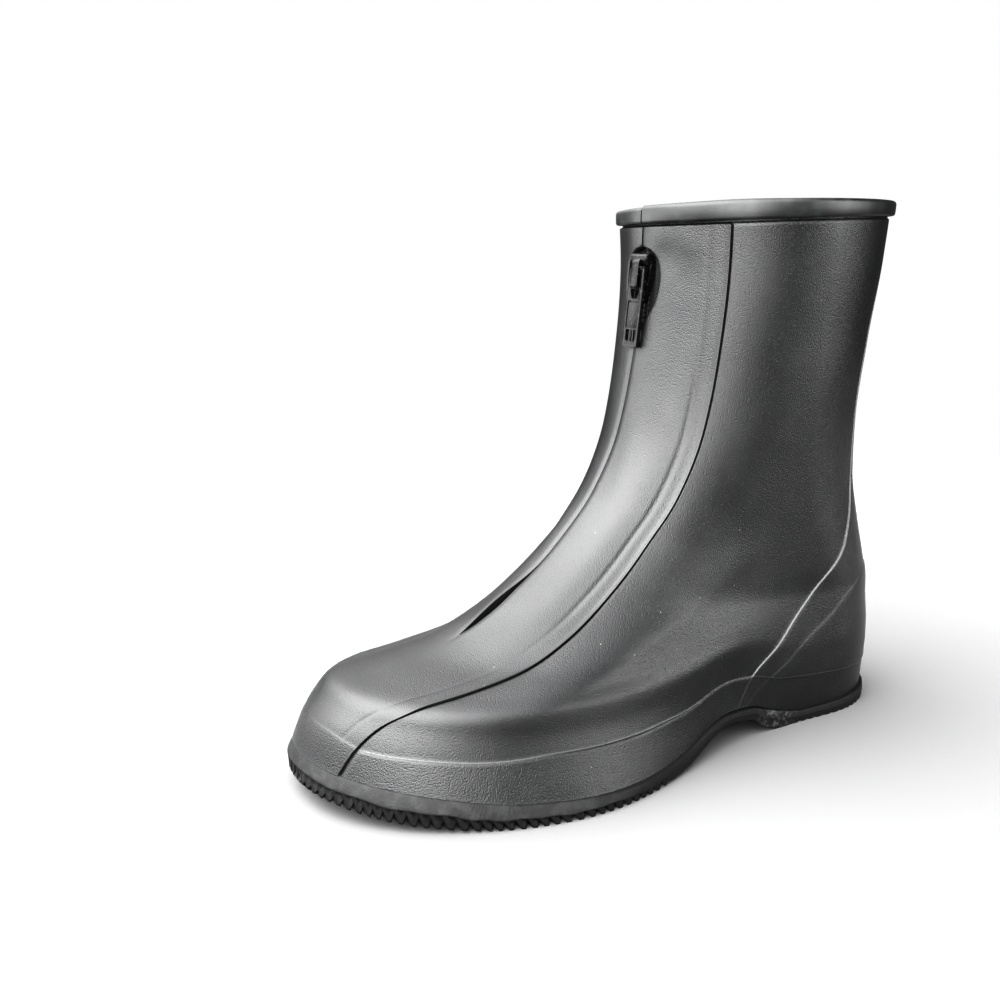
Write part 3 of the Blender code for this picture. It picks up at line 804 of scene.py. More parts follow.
def line_gaps(height, arc, foxing):
    """Distances, in millimetres, of the wall's points to its lines."""
    half = np.where(arc > 0, half_loop(height, 1), half_loop(height, -1))
    from_back = half - np.abs(arc)
    lean = np.gradient(COUNTER["from_back"], COUNTER["height"])
    slope = np.interp(height, COUNTER["height"], lean)
    counter = smooth(COUNTER["height"], COUNTER["from_back"], height) - from_back
    places, levels = SECOND_LINE["from_back"], SECOND_LINE["height"]
    second = height - smooth(places, levels, np.clip(from_back, 0, places[-1]))
    fall = np.interp(from_back, places, np.gradient(levels, places))
    return {
        "panel_gap": np.abs(arc) - smooth(PANEL["height"], PANEL["half"], height),
        "counter_gap": counter / np.hypot(1, slope),
        "second_gap": second / np.hypot(1, fall),
        "foxing_gap": height - foxing,
        "band_gap": height - BAND_FOOT,
    }


def segment_distance(points, start, end):
    """Distance of points to a straight segment, and how far along it they lie, from 0 to 1."""
    way = end - start
    share = np.clip(((points - start) @ way) / (way @ way), 0, 1)
    return np.linalg.norm(points - start - share[..., None] * way, axis=-1), share


def crease_relief(points):
    """Soft troughs along the main creases, fading out at their ends."""
    depth = np.zeros(points.shape[:2])
    scale = settings().upper.crease / MM
    for start_height, start_arc, end_height, end_arc, width, share in zip(*CREASES.values()):
        start, end = surface(np.array([start_height, end_height]), np.array([start_arc, end_arc]))
        gap, way = segment_distance(points, start, end)
        trough = hump(gap, 0, width) - CREASE_BANK * hump(gap, BANK_PLACE * width, width)
        depth -= scale * share * trough * (CREASE_END + (1 - CREASE_END) * np.sin(math.pi * way))
    return depth


def wave_relief(points):
    """Slow unevenness of moulded rubber that has been worn."""
    x, y, z = np.moveaxis(points, -1, 0)
    return (
        0.22 * np.sin(x / 17 + z / 41) * np.sin(z / 29 + y / 53)
        + 0.14 * np.sin(z / 13 - y / 23 + 1.1) * np.sin(y / 19 + 0.6))


# Relief of the front panel, in millimetres and in shares of its half width
GROOVE_FALL, GROOVE_CLIMB = (-0.1, 0.5), (0.42, 0.58)
GROOVE_BURIED, BURIED_OVER = 0.7, 3.0
SHOULDER_WIDTH, SHOULDER_FOOT, SHOULDER_TOP, SHOULDER_FADE = 0.34, (24, 70), (165, 60), 0.6
TROUGH_WIDTH, TROUGH_DEPTH, SHAFT_TROUGH = 0.034, 0.25, 0.2
TROUGH_FOOT, TROUGH_SHAFT, TROUGH_TOP, TROUGH_FADE = (14, 8), (60, 30), (160, 60), 0.7
LIP_FALLS, LIP_WIDTHS = (0.7, 0.25), (2.4, 1.0)     # on the closed slit, and at the slider opening
LIP_FOOT, PUCKER_FOOT, OPENING_FOOT = (SLIT_FOOT - 4, 6), (SLIT_FOOT - 3, 5), (194, 8)
OPENING_SWELL, OPENING_HEIGHT, OPENING_ARC = 0.8, (243, 9), (8, 8)
OUTER_FLAP, INNER_FLAP, PUCKER_HEIGHT = (1.2, 6), (2.6, 4), (76, 10)


def edge_groove(edge, foxing):
    """Rise of the front panel over the sides, and the groove along its edge."""
    sizes = settings().upper
    top = sizes.panel_rise / MM
    depth = sizes.channel_depth / MM * (1 - GROOVE_BURIED * ease(-foxing / BURIED_OVER))
    return top - (top + depth) * ramp(edge, *GROOVE_FALL) + depth * ramp(edge, *GROOVE_CLIMB)


def zip_strip(height, arc, edge):
    """Strip over the zip's tapes: a soft shoulder that falls to a trough inside the panel's edge."""
    share = np.abs(arc) / (np.abs(arc) - edge)
    trough = smooth(TROUGH["height"], TROUGH["share"], height)
    shoulder = ramp(share, trough - SHOULDER_WIDTH, SHOULDER_WIDTH)
    shoulder = shoulder * ramp(height, *SHOULDER_FOOT) * (1 - SHOULDER_FADE * ramp(height, *SHOULDER_TOP))
    line = (TROUGH_DEPTH + SHAFT_TROUGH * ramp(height, *TROUGH_SHAFT)) * hump(share, trough, TROUGH_WIDTH)
    line = line * ramp(height, *TROUGH_FOOT) * (1 - TROUGH_FADE * ramp(height, *TROUGH_TOP))
    return -(settings().upper.zip_ridge / MM * shoulder + line) * ease(-edge / 2)


def slit_lips(height, arc):
    """Rolled lips of the slit, the swell over the slider opening, and the pucker at the slit's foot."""
    reach = np.abs(arc)
    slit = reach - smooth(SLIT["height"], SLIT["half"], height)
    opened = ramp(height, *OPENING_FOOT)
    fall, width = (shut + (wide - shut) * opened for shut, wide in (LIP_FALLS, LIP_WIDTHS))
    lips = fall * (1 - ease(slit / width)) * ramp(height, *LIP_FOOT)
    swell = OPENING_SWELL * hump(height, *OPENING_HEIGHT) * hump(reach, *OPENING_ARC)
    outer, inner = (most * np.exp(-reach / fade) for most, fade in (OUTER_FLAP, INNER_FLAP))
    pucker = np.where(arc > 0, outer, inner) * hump(height, *PUCKER_HEIGHT) * ramp(height, *PUCKER_FOOT)
    return swell + pucker - lips


SECOND_RISE, SECOND_WIDTH = 0.3, 2.4
BEYOND_PANEL, SWELL_FOOT = (1.0, 1.0), 30.0
PANEL_FOXING = 0.3              # share of the foxing's rise that goes on over the front panel
CALM = 14.0                     # distance from foxing and collar band over which the wall turns even


def wall_relief(height, arc, foxing, points):
    """How far the wall's points stand out from the last."""
    sizes = settings().upper
    gaps = line_gaps(height, arc, foxing)
    edge = gaps["panel_gap"]
    panel = edge_groove(edge, gaps["foxing_gap"]) + zip_strip(height, arc, edge) + slit_lips(height, arc)
    counter = sizes.counter_rise / MM * ramp(gaps["counter_gap"], -STEP, STEP)
    second = SECOND_RISE * ease(0.5 - gaps["second_gap"] / SECOND_WIDTH) * (gaps["counter_gap"] > 0)
    beyond = ramp(edge, *BEYOND_PANEL)
    upper_part = (counter + second) * beyond
    lower_part = sizes.foxing_rise / MM * (beyond + PANEL_FOXING * (1 - beyond))
    low = ease(-gaps["foxing_gap"] / STEP)
    rise = panel + upper_part * (1 - low) + lower_part * low
    calm = ease((BAND_FOOT - height) / CALM) * ramp(height, foxing, CALM)
    swell = SIDE_SWELL * hump(height, *SWELL_HEIGHT) * hump(HEEL_BACK - points[..., 1], *SWELL_STATION)
    swell = swell * beyond * ease(height / SWELL_FOOT) * (arc > 0)
    return rise + (wave_relief(points) + crease_relief(points)) * calm + swell, gaps


def wall_faces(rows, count, inner_rows):
    """Faces of the wall's outer and inner grid, open along the slit, and of the slit's edges."""
    slit = len(upper_columns()) - 2
    slit_row = FOOT_ROWS + 2 + ROW_ZONES[0][1]
    mirror = {row: rows - 1 - k for k, row in enumerate(inner_rows)}
    faces = []
    for r in range(rows):
        below_slit = r < slit_row or r >= mirror[slit_row]
        for c in range(count):
            if c != slit or below_slit:
                a, b = r * count + c, r * count + (c + 1) % count
                after = (r + 1) % rows * count
                faces.append((a, b, after + (c + 1) % count, after + c))
    for c in (slit, slit + 1):
        for low, high in zip(inner_rows, inner_rows[1:]):
            if low >= slit_row:
                ring = list(range(low, high + 1)) + [mirror[high], mirror[low]]
                faces.append(tuple(r * count + c for r in ring))
        ring = range(inner_rows[-1], mirror[inner_rows[-1]] + 1)
        faces.append(tuple(r * count + c for r in ring))
    foot = [(slit_row, slit), (slit_row, slit + 1), (mirror[slit_row], slit + 1), (mirror[slit_row], slit)]
    faces.append(tuple(r * count + c for r, c in foot))
    return faces


def make_upper():
    """Hollow rubber wall: outer face with its steps, rolled collar rim, inner face, and slit edges."""
    height, arc, foxing = upper_grid()
    base = surface(height, arc)
    out = normals(height, arc)
    rim_rows = len(RIM_PROFILE["height"])
    flat = out[-rim_rows:].copy()
    flat[..., 2] = 0
    out[-rim_rows:] = unit(flat)
    rise, gaps = wall_relief(height, arc, foxing, base)
    rise[-rim_rows:] = RIM_PROFILE["rise"][:, None]
    outer = base + out * rise[..., None]
    share = (RIM_PROFILE["height"] - BAND_FOOT) / (RIM - BAND_FOOT)
    lift_up = np.interp(arc[-rim_rows:], RIM_LIFT["arc"], RIM_LIFT["lift"])
    outer[-rim_rows:, :, 2] += lift_up * np.clip(share, 0, 1)[:, None]
    walled = len(height) - rim_rows
    inner_rows = list(range(0, walled, INNER_STEP))
    sizes = settings().upper
    depth = (sizes.wall - sizes.lining) / MM
    inner = (base - out * depth)[inner_rows]
    for wall in (outer, inner):
        wall[0, :, 2] = along("feather", wall[0, :, 1])
    grid = np.concatenate([outer, inner[::-1]])
    values = {key: np.concatenate([gap, gap[inner_rows][::-1]]) for key, gap in gaps.items()}
    faces = wall_faces(*grid.shape[:2], inner_rows)
    upper = new_object("upper_rubber", metres(grid.reshape(-1, 3)), faces, values)
    upper.data.set_sharp_from_angle(angle=math.radians(UPPER_SHARP))
    return upper


LINING_ROWS, LINING_COLUMNS = 100, 80
LINING_FOOT, LINING_TOP = 2.0, 250.0
LINING_CLEAR = 0.03
SLIT_TURN_IN = 2.2


def make_lining():
    """Thin knitted sheet inside the wall, from one side of the slit round the back to the other."""
    sizes = settings().upper
    level = np.linspace(LINING_FOOT, LINING_TOP, LINING_ROWS)
    start = smooth(SLIT["height"], SLIT["half"], level)[:, None] + SLIT_TURN_IN
    share = np.linspace(0, 1, LINING_COLUMNS)[None, :]
    outer, inner = (start + (half_loop(level, side)[:, None] - start) * share for side in (1, -1))
    arc = np.concatenate([outer, -inner[:, -2::-1]], axis=1)
    across = np.concatenate([outer, outer[:, -1:] + inner[:, -1:] - inner[:, -2::-1]], axis=1)
    height = np.repeat(level[:, None], arc.shape[1], axis=1)
    base = surface(height, arc)
    out = normals(height, arc)
    depths = (sizes.wall - sizes.lining + LINING_CLEAR * MM, sizes.wall)
    return closed_sheet("upper_lining", [base - out * depth / MM for depth in depths], {"across": across})


def closed_sheet(name, sheets, values):
    """Thin closed piece between two faces of the same grid."""
    rows, count = sheets[0].shape[:2]
    shift = rows * count
    top = grid_faces(rows, count, False)
    faces = top + [tuple(shift + v for v in face[::-1]) for face in top]
    edge = list(range(count))
    edge += [r * count + count - 1 for r in range(1, rows)]
    edge += [(rows - 1) * count + c for c in range(count - 2, -1, -1)]
    edge += [r * count for r in range(rows - 2, 0, -1)]
    for a, b in zip(edge, edge[1:] + edge[:1]):
        faces.append((a, b, b + shift, a + shift))
    points = np.concatenate([sheet.reshape(-1, 3) for sheet in sheets])
    doubled = {key: np.concatenate([np.ravel(v), np.ravel(v)]) for key, v in values.items()}
    return new_object(name, metres(points), faces, doubled)


def closed_loft(name, sections, values):
    """Closed piece through sections that each go round from one side of the seam to the other."""
    stations, around = sections.shape[:2]
    faces = grid_faces(stations, around, True)
    for end in (0, (stations - 1) * around):
        for j in range(around // 2):
            pair = (end + j, end + j + 1, end + around - 2 - j, end + around - 1 - j)
            faces.append(tuple(dict.fromkeys(pair)))
    return new_object(name, metres(sections.reshape(-1, 3)), faces, values)


# Outsole
SOLE_SPACING, OUTLINE_POINTS = 0.42, 4001
LIP_WIDTH, HEEL_LIP_WIDTH = 3.2, 0.35
FORE_LIP, FORE_LIP_SHARE = 6.4, 0.56
LIP_SLOPE = columns("inset share lip", (
    (1.0, 0.0, 1), (0.86, 0.05, 1), (0.7, 0.16, 1), (0.5, 0.34, 1), (0.3, 0.54, 1), (0.12, 0.74, 1),
    (0.02, 0.88, 1), (0.0, 0.95, 0.8), (0.06, 1.0, 0.4)))
WALL_SHARES = (0.1, 0.25, 0.45, 0.65, 0.85, 1.0)
FORE_START, FORE_LENGTH = 170.0, 60.0
EDGE_PITCH, FORE_CUT, HEEL_CUT = 5.2, 3.8, 1.1
FORE_TEETH, HEEL_TEETH = (158, 14), (62, 8)
SLOT_RECESS, SLOT_SLANT = 2.2, 2.4
EDGE_SHARE = 0.9
BOTTOM_SHARES = (0.97, EDGE_SHARE, 0.75, 0.55, PAD_SHARE, 0.36, 0.2, 0.0)
TOOTH_JITTER = 0.35


def saw(count):
    """Tooth by tooth, a slot that falls steeply to 1 and climbs out slowly to 0."""
    phase = count - np.floor(count)
    climb = np.clip(1 - phase / RIB_SLOPE, 0, 1)
    fall = np.clip((phase - RIB_CREST) / (1 - RIB_CREST), 0, 1)
    return np.maximum(climb, fall)


def edge_teeth(run, station, side):
    """Slots round the sole's edge, from 0 to 1, and how deep each is cut."""
    run = run + 0.6 * np.sin(run / 9.3 + side) + 0.35 * np.sin(run / 4.1 + 1)
    count = run / EDGE_PITCH
    uneven = 1 + TOOTH_JITTER * np.sin(np.floor(count) * 12.9898 + side * 4.1)
    deepest = FORE_CUT * ramp(station, *FORE_TEETH) + HEEL_CUT * (1 - ramp(station, *HEEL_TEETH))
    return saw(count), deepest * uneven


def rib_cut(y):
    """Depth of the cross grooves under the sole."""
    station = HEEL_BACK - y
    cut = np.zeros_like(y)
    for start, end, pitch, most in zip(*RIBS.values()):
        within = (station >= start - 1) & (station <= end)
        cut = np.where(within, saw((station - start) / pitch) * most, cut)
    return np.minimum(cut, RIB_LIMIT * (along("feather", y) - along("tread", y)))


def ring_points(turn, inset, side):
    """Points on the welt's outline, moved inward by the inset."""
    sec = {name: size - inset for name, size in WELT.items()}
    sec["toe"] = WELT["toe"] + inset
    return outline(sec, 0.0, turn, side)


def sole_turns():
    """Turns along the welt's outline, evenly spaced round it."""
    fine = np.linspace(0, math.pi, OUTLINE_POINTS)
    x, y = ring_points(fine, 0.0, 1)
    run = np.concatenate([[0], np.cumsum(np.hypot(np.diff(x), np.diff(y)))])
    steps = int(run[-1] / SOLE_SPACING)
    return np.interp(np.linspace(0, run[-1], steps + 1)[1:-1], run, fine)


def sole_half(turn, side):
    """Points and lip values of the sole's edge on one side, level by level from the seat to the tread."""
    x_edge, y_edge = ring_points(turn, 0.0, side)
    run = np.concatenate([[0], np.cumsum(np.hypot(np.diff(x_edge), np.diff(y_edge)))])
    station = HEEL_BACK - y_edge
    seat = along("feather", y_edge) - SEAT_GAP - SEAT_EASE * hump(station, SEAT_STATION, SEAT_SPREAD)
    tread = along("tread", y_edge)
    fore = ease((station - FORE_START) / FORE_LENGTH)
    lip_high = np.minimum(LIP_THICK, LIP_SHARE * (seat - tread))
    lip_high = lip_high + fore * (np.minimum(FORE_LIP, FORE_LIP_SHARE * (seat - tread)) - lip_high)
    wavy = 1 + 0.06 * np.sin(station / 5.7 + side) + 0.05 * np.sin(station / 2.3)
    width = HEEL_LIP_WIDTH + (LIP_WIDTH - HEEL_LIP_WIDTH) * fore
    lip_foot = seat - lip_high * wavy
    slope = zip(*LIP_SLOPE.values())
    levels = [(width * inset, seat - lip_high * wavy * share, lip) for inset, share, lip in slope]
    for share in WALL_SHARES:
        slot, deepest = edge_teeth(run + SLOT_SLANT * fore * (1 - share), station, side)
        cut = slot * np.minimum(deepest, RIB_SHARE * (lip_foot - tread))
        inset = FOOT_INSET + FOOT_DRAFT * share + SLOT_RECESS * slot * min(share * 5, 1) * fore
        levels.append((inset, lip_foot + (tread + cut - lip_foot) * share, 0))
    points = [np.stack([*ring_points(turn, inset, side), z], axis=-1) for inset, z, _ in levels]
    return points, [lip * (0.15 + 0.85 * fore) for _, _, lip in levels]


def make_outsole():
    """Moulded sole: smooth lip, sawtooth edge, ribbed tread with flat pads, heel, arch and toe spring."""
    turn = sole_turns()
    halves = {side: sole_half(turn, side) for side in (1, -1)}
    right, left = halves[1][0][-1], halves[-1][0][-1]
    middle = (right + left) / 2
    station = HEEL_BACK - middle[:, 1]
    on_pad = np.zeros(len(turn), bool)
    for start, end in PADS:
        on_pad |= (station >= start) & (station <= end)
    tread = along("tread", middle[:, 1])
    ribs = rib_cut(middle[:, 1])
    bottoms = {}
    for side, foot in ((1, right), (-1, left)):
        rows = []
        for share in BOTTOM_SHARES:
            row = middle + (foot - middle) * share
            if share >= EDGE_SHARE:
                row[:, 2] = foot[:, 2]
            else:
                row[:, 2] = tread + ribs
            if share <= PAD_SHARE:
                row[on_pad, 2] = tread[on_pad]
            rows.append(row)
        bottoms[side] = rows
    ring = halves[1][0] + bottoms[1] + bottoms[-1][-2::-1] + halves[-1][0][::-1]
    bare = [np.zeros(len(turn))] * (2 * len(BOTTOM_SHARES) - 1)
    lips = halves[1][1] + bare + halves[-1][1][::-1]
    return closed_loft("outsole_rubber", np.stack(ring, axis=1), {"lip": np.stack(lips, axis=1)})


# Insole
INSOLE_INSET = 4.2
INSOLE_EDGE = columns("inset rise", (
    (0.5, 0.0), (0.1, 0.35), (0.0, 1.0), (0.1, 1.65), (0.5, 1.95), (1.5, 2.0)))
INSOLE_CROWN = (0.85, 0.6, 0.3, 0.0)
INSOLE_STATIONS = 260


def make_insole():
    """Thin sheet on the outsole with softly rounded edges."""
    turn = np.linspace(0, math.pi, INSOLE_STATIONS + 1)[1:-1]
    halves = {}
    for side in (1, -1):
        rows = []
        for inset, rise in zip(*INSOLE_EDGE.values()):
            drop = INSOLE_INSET + inset
            sizes = {name: LAST[name][0] - drop for name in LAST if name != "height"}
            sizes["toe"] = LAST["toe"][0] + drop
            x, y = outline(sizes, 0.0, turn, side)
            rows.append(np.stack([x, y, along("feather", y) + rise], axis=-1))
        halves[side] = rows
    middle = (halves[1][-1] + halves[-1][-1]) / 2
    crowns = {}
    for side, rows in halves.items():
        crowns[side] = [middle + (rows[-1] - middle) * share for share in INSOLE_CROWN]
    sections = np.stack(halves[1] + crowns[1] + crowns[-1][-2::-1] + halves[-1][::-1], axis=1)
    return closed_loft("insole_sheet", sections, {"across": sections[..., 0]})


# Zip
TAPE_ARCS = (3.3, 15.0)
TAPE_DEPTH = (2.75, 3.5)
TAPE_BULGE = 1.6
TAPE_ROWS, TAPE_COLUMNS = 180, 22
BULGE_START, BULGE_EDGE, BULGE_FADE = 5.5, 0.5, 3.0
TOOTH_PITCH, TOOTH_START = 2.4, 0.8
TOOTH_RINGS = ((1.125, 0.54, -0.9375), (1.4375, 0.648, 0.25), (1.0625, 0.432, 0.9375))
TOOTH_CORNERS = ((-1, -1), (1, -1), (1, 1), (-1, 1))
TOOTH_FACES = [(3, 2, 1, 0), *grid_faces(3, 4, True), (8, 9, 10, 11)]
TOOTH_SIDE = 1.35
CHAIN_DEPTH, CHAIN_POINTS = 3.5, 2000
ACROSS = np.array([1.0, 0.0, 0.0])
CHAIN_SHARP, CAST_SHARP = 35, 50


def make_tape(name, side):
    """Woven tape behind one side of the slit."""
    height = np.repeat(np.linspace(ZIP_FOOT, ZIP_TOP, TAPE_ROWS)[:, None], TAPE_COLUMNS, axis=1)
    arc = 0 * height + side * np.linspace(*TAPE_ARCS, TAPE_COLUMNS)[None, :]
    base = surface(height, arc)
    out = normals(height, arc)
    reach = np.abs(arc)
    opening = smooth(SLIT["height"], SLIT["half"], height)
    bulge = TAPE_BULGE * ramp(reach, BULGE_START, BULGE_FADE)
    bulge = bulge * ease((opening + BULGE_EDGE - reach) / BULGE_FADE)
    sheets = [base - out * (depth - bulge)[..., None] for depth in TAPE_DEPTH]
    return closed_sheet(name, sheets, {"across": arc, "up": height})


def make_chain():
    """Two rows of moulded teeth that mesh along the front line."""
    fine = np.linspace(ZIP_FOOT, ZIP_TOP, CHAIN_POINTS)
    line = surface(fine, np.zeros_like(fine))
    run = np.concatenate([[0], np.cumsum(np.linalg.norm(np.diff(line, axis=0), axis=1))])
    count = int(run[-1] / TOOTH_PITCH)
    shape = np.array([
        (x * across, y * up, out) for across, up, out in TOOTH_RINGS for x, y in TOOTH_CORNERS])
    points, faces = [], []
    for k in range(2 * count):
        side = 1 if k % 2 else -1
        height = np.interp((k + TOOTH_START) * TOOTH_PITCH / 2, run, fine)
        spot = surface(np.array([height]), np.zeros(1))[0]
        out = normals(np.array([height]), np.zeros(1))[0]
        up = unit(np.cross(out, ACROSS))
        up = up if up[2] > 0 else -up
        start = len(points) * len(shape)
        middle = spot - out * CHAIN_DEPTH + side * TOOTH_SIDE * ACROSS
        points.append(middle + shape @ np.stack([ACROSS, up, out]))
        faces += [tuple(start + v for v in face) for face in TOOTH_FACES]
    chain = new_object("zip_teeth_chain", metres(np.concatenate(points)), faces)
    chain.data.set_sharp_from_angle(angle=math.radians(CHAIN_SHARP))
    return chain


def slider_slope():
    """Slope of the front line that the pull tab lies along."""
    low, high = surface(SLIDER_HEIGHT + np.array([-TAB_BELOW, HINGE_UP]), np.zeros(2))
    return math.atan2(high[2] - low[2], high[1] - low[1])


def slider_middle():
    """Point of the slider's middle on the front line, in metres."""
    return metres(surface(np.array([SLIDER_HEIGHT]), np.zeros(1))[0])


def rounded_box(half, low, high, corner, steps=5):
    """Flat outline with rounded corners, counter-clockwise."""
    points = []
    for x, y, start in ((half, high, 0), (-half, high, 90), (-half, low, 180), (half, low, 270)):
        centre_x = x - math.copysign(corner, x)
        centre_y = y - corner if y == high else y + corner
        for k in range(steps):
            angle = math.radians(start + 90 * k / (steps - 1))
            points.append((centre_x + corner * math.cos(angle), centre_y + corner * math.sin(angle)))
    return points


def block(name, flat, low, high, axes="xyz"):
    """Flat outline made solid between two depths, in millimetres; axes says which way the outline lies."""
    order = ["xyz".index(axis) for axis in axes]
    points = np.array([(u, v, w) for w in (low, high) for u, v in flat])[:, order] * MM
    count = len(flat)
    faces = [tuple(range(count)), tuple(range(count, 2 * count))]
    faces += [(k, (k + 1) % count, count + (k + 1) % count, count + k) for k in range(count)]
    return new_object(name, points, faces)


def carve(obj, others, bevel, angle):
    """Cut or join other solids, round the edges, and keep the result as the object's own mesh."""
    for other, operation in others:
        tool = obj.modifiers.new(other.name, "BOOLEAN")
        tool.operation = operation
        tool.object = other
        tool.solver = "EXACT"
    edge = obj.modifiers.new("edges", "BEVEL")
    edge.width = bevel * MM
    edge.segments = 3
    edge.limit_method = "ANGLE"
    edge.angle_limit = math.radians(angle)
    bpy.context.view_layer.update()
    shaped = obj.evaluated_get(bpy.context.evaluated_depsgraph_get())
    mesh = bpy.data.meshes.new_from_object(shaped)
    if not mesh.polygons:
        raise RuntimeError("nothing left of " + obj.name)
    obj.modifiers.clear()
    obj.data = mesh
    for other, _ in others:
        bpy.data.objects.remove(other, do_unlink=True)
    mesh.shade_smooth()
    mesh.set_sharp_from_angle(angle=math.radians(CAST_SHARP))
    return obj


def set_on_front(obj, place):
    """Place an object at a point of the front line: its X across, Y up the line and Z outward."""
    obj.location = place
    obj.rotation_euler = (slider_slope(), 0, 0)


SLIDER_HALF, SLIDER_UP, SLIDER_DOWN = 6.6, 14.2, 9.0
SLIDER_BACK, SLIDER_FACE = -1.4, 0.9
COVER_HALF = 6.2
COVER = ((14.1, 0.3), (14.1, 2.4), (12.6, 4.3), (10.7, 4.2), (7.9, 2.5), (7.7, 0.3))
BRIDGE_HALF, BRIDGE_UP, BRIDGE_DOWN, BRIDGE_LEG = 2.7, 11.6, 3.6, 2.6
BRIDGE_REACH, BRIDGE_BAR, BRIDGE_SUNK = 4.2, 1.3, 0.5
BEND, BEND_IN, BEND_DOWN = 2.2, 0.7, 0.8
COVER_BEVEL, BRIDGE_BEVEL, SLIDER_BEVEL = (0.95, 20), (0.55, 20), (0.2, 50)


def make_slider():
    """Cast slider: a waisted plate with a domed cover, and a bridge that holds the pull tab."""
    half = SLIDER_HALF
    right = [
        (half * 0.5, -SLIDER_DOWN), (half * 0.7, 2 - SLIDER_DOWN), (half, 5), (half * 0.96, SLIDER_UP - 4),
        (half * 0.76, SLIDER_UP - 1.2), (half * 0.4, SLIDER_UP)]
    left = [(-x, y) for x, y in right[::-1]]
    slider = block("slider_casting", left[3:] + right + left[:3], SLIDER_BACK, SLIDER_FACE)
    cover = carve(block("slider_cover", COVER, -COVER_HALF, COVER_HALF, "zxy"), [], *COVER_BEVEL)
    crown = BRIDGE_REACH + BRIDGE_BAR
    root = SLIDER_FACE - BRIDGE_SUNK
    staple = [
        (BRIDGE_UP, root), (BRIDGE_UP, crown - BEND), (BRIDGE_UP - BEND_IN, crown - BEND_DOWN),
        (BRIDGE_UP - BEND, crown), (BEND - BRIDGE_DOWN, crown), (BEND_IN - BRIDGE_DOWN, crown - BEND_DOWN),
        (-BRIDGE_DOWN, crown - BEND), (-BRIDGE_DOWN, root), (BRIDGE_LEG - BRIDGE_DOWN, root),
        (BRIDGE_LEG - BRIDGE_DOWN, BRIDGE_REACH), (BRIDGE_UP - BRIDGE_LEG, BRIDGE_REACH),
        (BRIDGE_UP - BRIDGE_LEG, root)]
    bridge = carve(block("slider_bridge", staple, -BRIDGE_HALF, BRIDGE_HALF, "zxy"), [], *BRIDGE_BEVEL)
    carve(slider, [(cover, "UNION"), (bridge, "UNION")], *SLIDER_BEVEL)
    set_on_front(slider, slider_middle())
    return slider


TAB_HALF, TAB_THICK, TAB_ABOVE = 5.8, 1.8, 0.9
KEYHOLE = ((3.3, -0.9), (-3.3, -0.9), (-3.3, -10.2), (-2.5, -12.0), (-2.1, -13.0), (-1.3, -13.4))
WINDOW_HALF, WINDOW = 3.6, (-33.3, -27.9)
FACE_HALF, FACE, FACE_DEPTH = 4.4, (-27.2, -15.2), 0.4
TAB_GROOVE, GROOVE_DEPTH = (-15.1, -14.6), 0.9
POST_PLACE, POST_HALF, POST_THICK, POST_ROOT = 1.5, 0.45, 1.1, 0.4
TAB_BEVEL = (0.32, 40)


def make_pull_tab():
    """Pull tab: a yoke with a keyhole, a cross groove, a sunk face, and a window with a post."""
    half = TAB_THICK / 2
    tab = block("pull_tab_casting", rounded_box(TAB_HALF, -TAB_BELOW, TAB_ABOVE, 1.5), -half, half)
    keyhole = KEYHOLE + tuple((-x, y) for x, y in KEYHOLE[:1:-1])
    cuts = [
        block("tab_keyhole", keyhole, -TAB_THICK, TAB_THICK),
        block("tab_window", rounded_box(WINDOW_HALF, *WINDOW, 0.3), -TAB_THICK, TAB_THICK),
        block("tab_face", rounded_box(FACE_HALF, *FACE, 0.3), half - FACE_DEPTH, TAB_THICK),
        block("tab_groove", rounded_box(FACE_HALF, *TAB_GROOVE, 0.2), half - GROOVE_DEPTH, TAB_THICK)]
    bar = rounded_box(POST_HALF, WINDOW[0] - POST_ROOT, WINDOW[1] + POST_ROOT, 0.1)
    post = block("tab_post", [(x + POST_PLACE, y) for x, y in bar], -POST_THICK / 2, POST_THICK / 2)
    carve(tab, [(cut, "DIFFERENCE") for cut in cuts] + [(post, "UNION")], *TAB_BEVEL)
    set_on_front(tab, HINGE["pos_m"])
    return tab


# Stage
CAMERA_PLACE = (0.4963, -0.3399, 0.2563)
CAMERA_YAW, CAMERA_PITCH, CAMERA_ROLL = 60.6, 12.7, -1.0
SENSOR_WIDTH, CLIP_START = 36, 0.01
FLOOR_RINGS = (0.2, 0.5, 0.8, 1.1)
FLOOR_FADE = (0.45, 1.05)
FLOOR_TURNS = 96
KEY_PLACE, KEY_SIZE = (0.05, -1.40, 0.70), (1.7, 1.3)
SKY = {
    "dome": ((0.08, -0.79, 0.61), (0.05, 1.1)),
    "side": ((0.77, -0.64, 0.0), (0.88, 1.0)),
    "back": ((0.735, 0.67, 0.11), (0.87, 0.99)),
    "inner": ((-0.75, 0.20, 0.63), (0.75, 1.0)),
    "front": ((-0.68, -0.70, -0.20), (0.85, 1.0)),
}
DIM_PATCH, DIM_SHARE = ((-0.65, -0.71, 0.27), (0.87, 1.0)), 0.4
BACK_LOW = (-0.45, 0.0)
HORIZON_RISE, HORIZON_SHARE = (-0.1, 0.45), 0.27
LOW_LIGHT = 0.15
VIEW_GAMMA = 0.65
LIGHT_TARGET = np.array([0.0, 0.0, 0.12])


def make_floor():
    """Pale round floor."""
    points = [(0.0, 0.0, 0.0)]
    for radius in FLOOR_RINGS:
        for k in range(FLOOR_TURNS):
            angle = 2 * math.pi * k / FLOOR_TURNS
            points.append((radius * math.cos(angle), radius * math.sin(angle), 0.0))
    faces = [tuple(v + 1 for v in face) for face in grid_faces(len(FLOOR_RINGS), FLOOR_TURNS, True)]
    faces += [(0, 1 + k, 1 + (k + 1) % FLOOR_TURNS) for k in range(FLOOR_TURNS)]
    floor = new_object("floor", points, faces)
    floor.data.materials.append(material("floor_paper", floor_paper))
    return floor


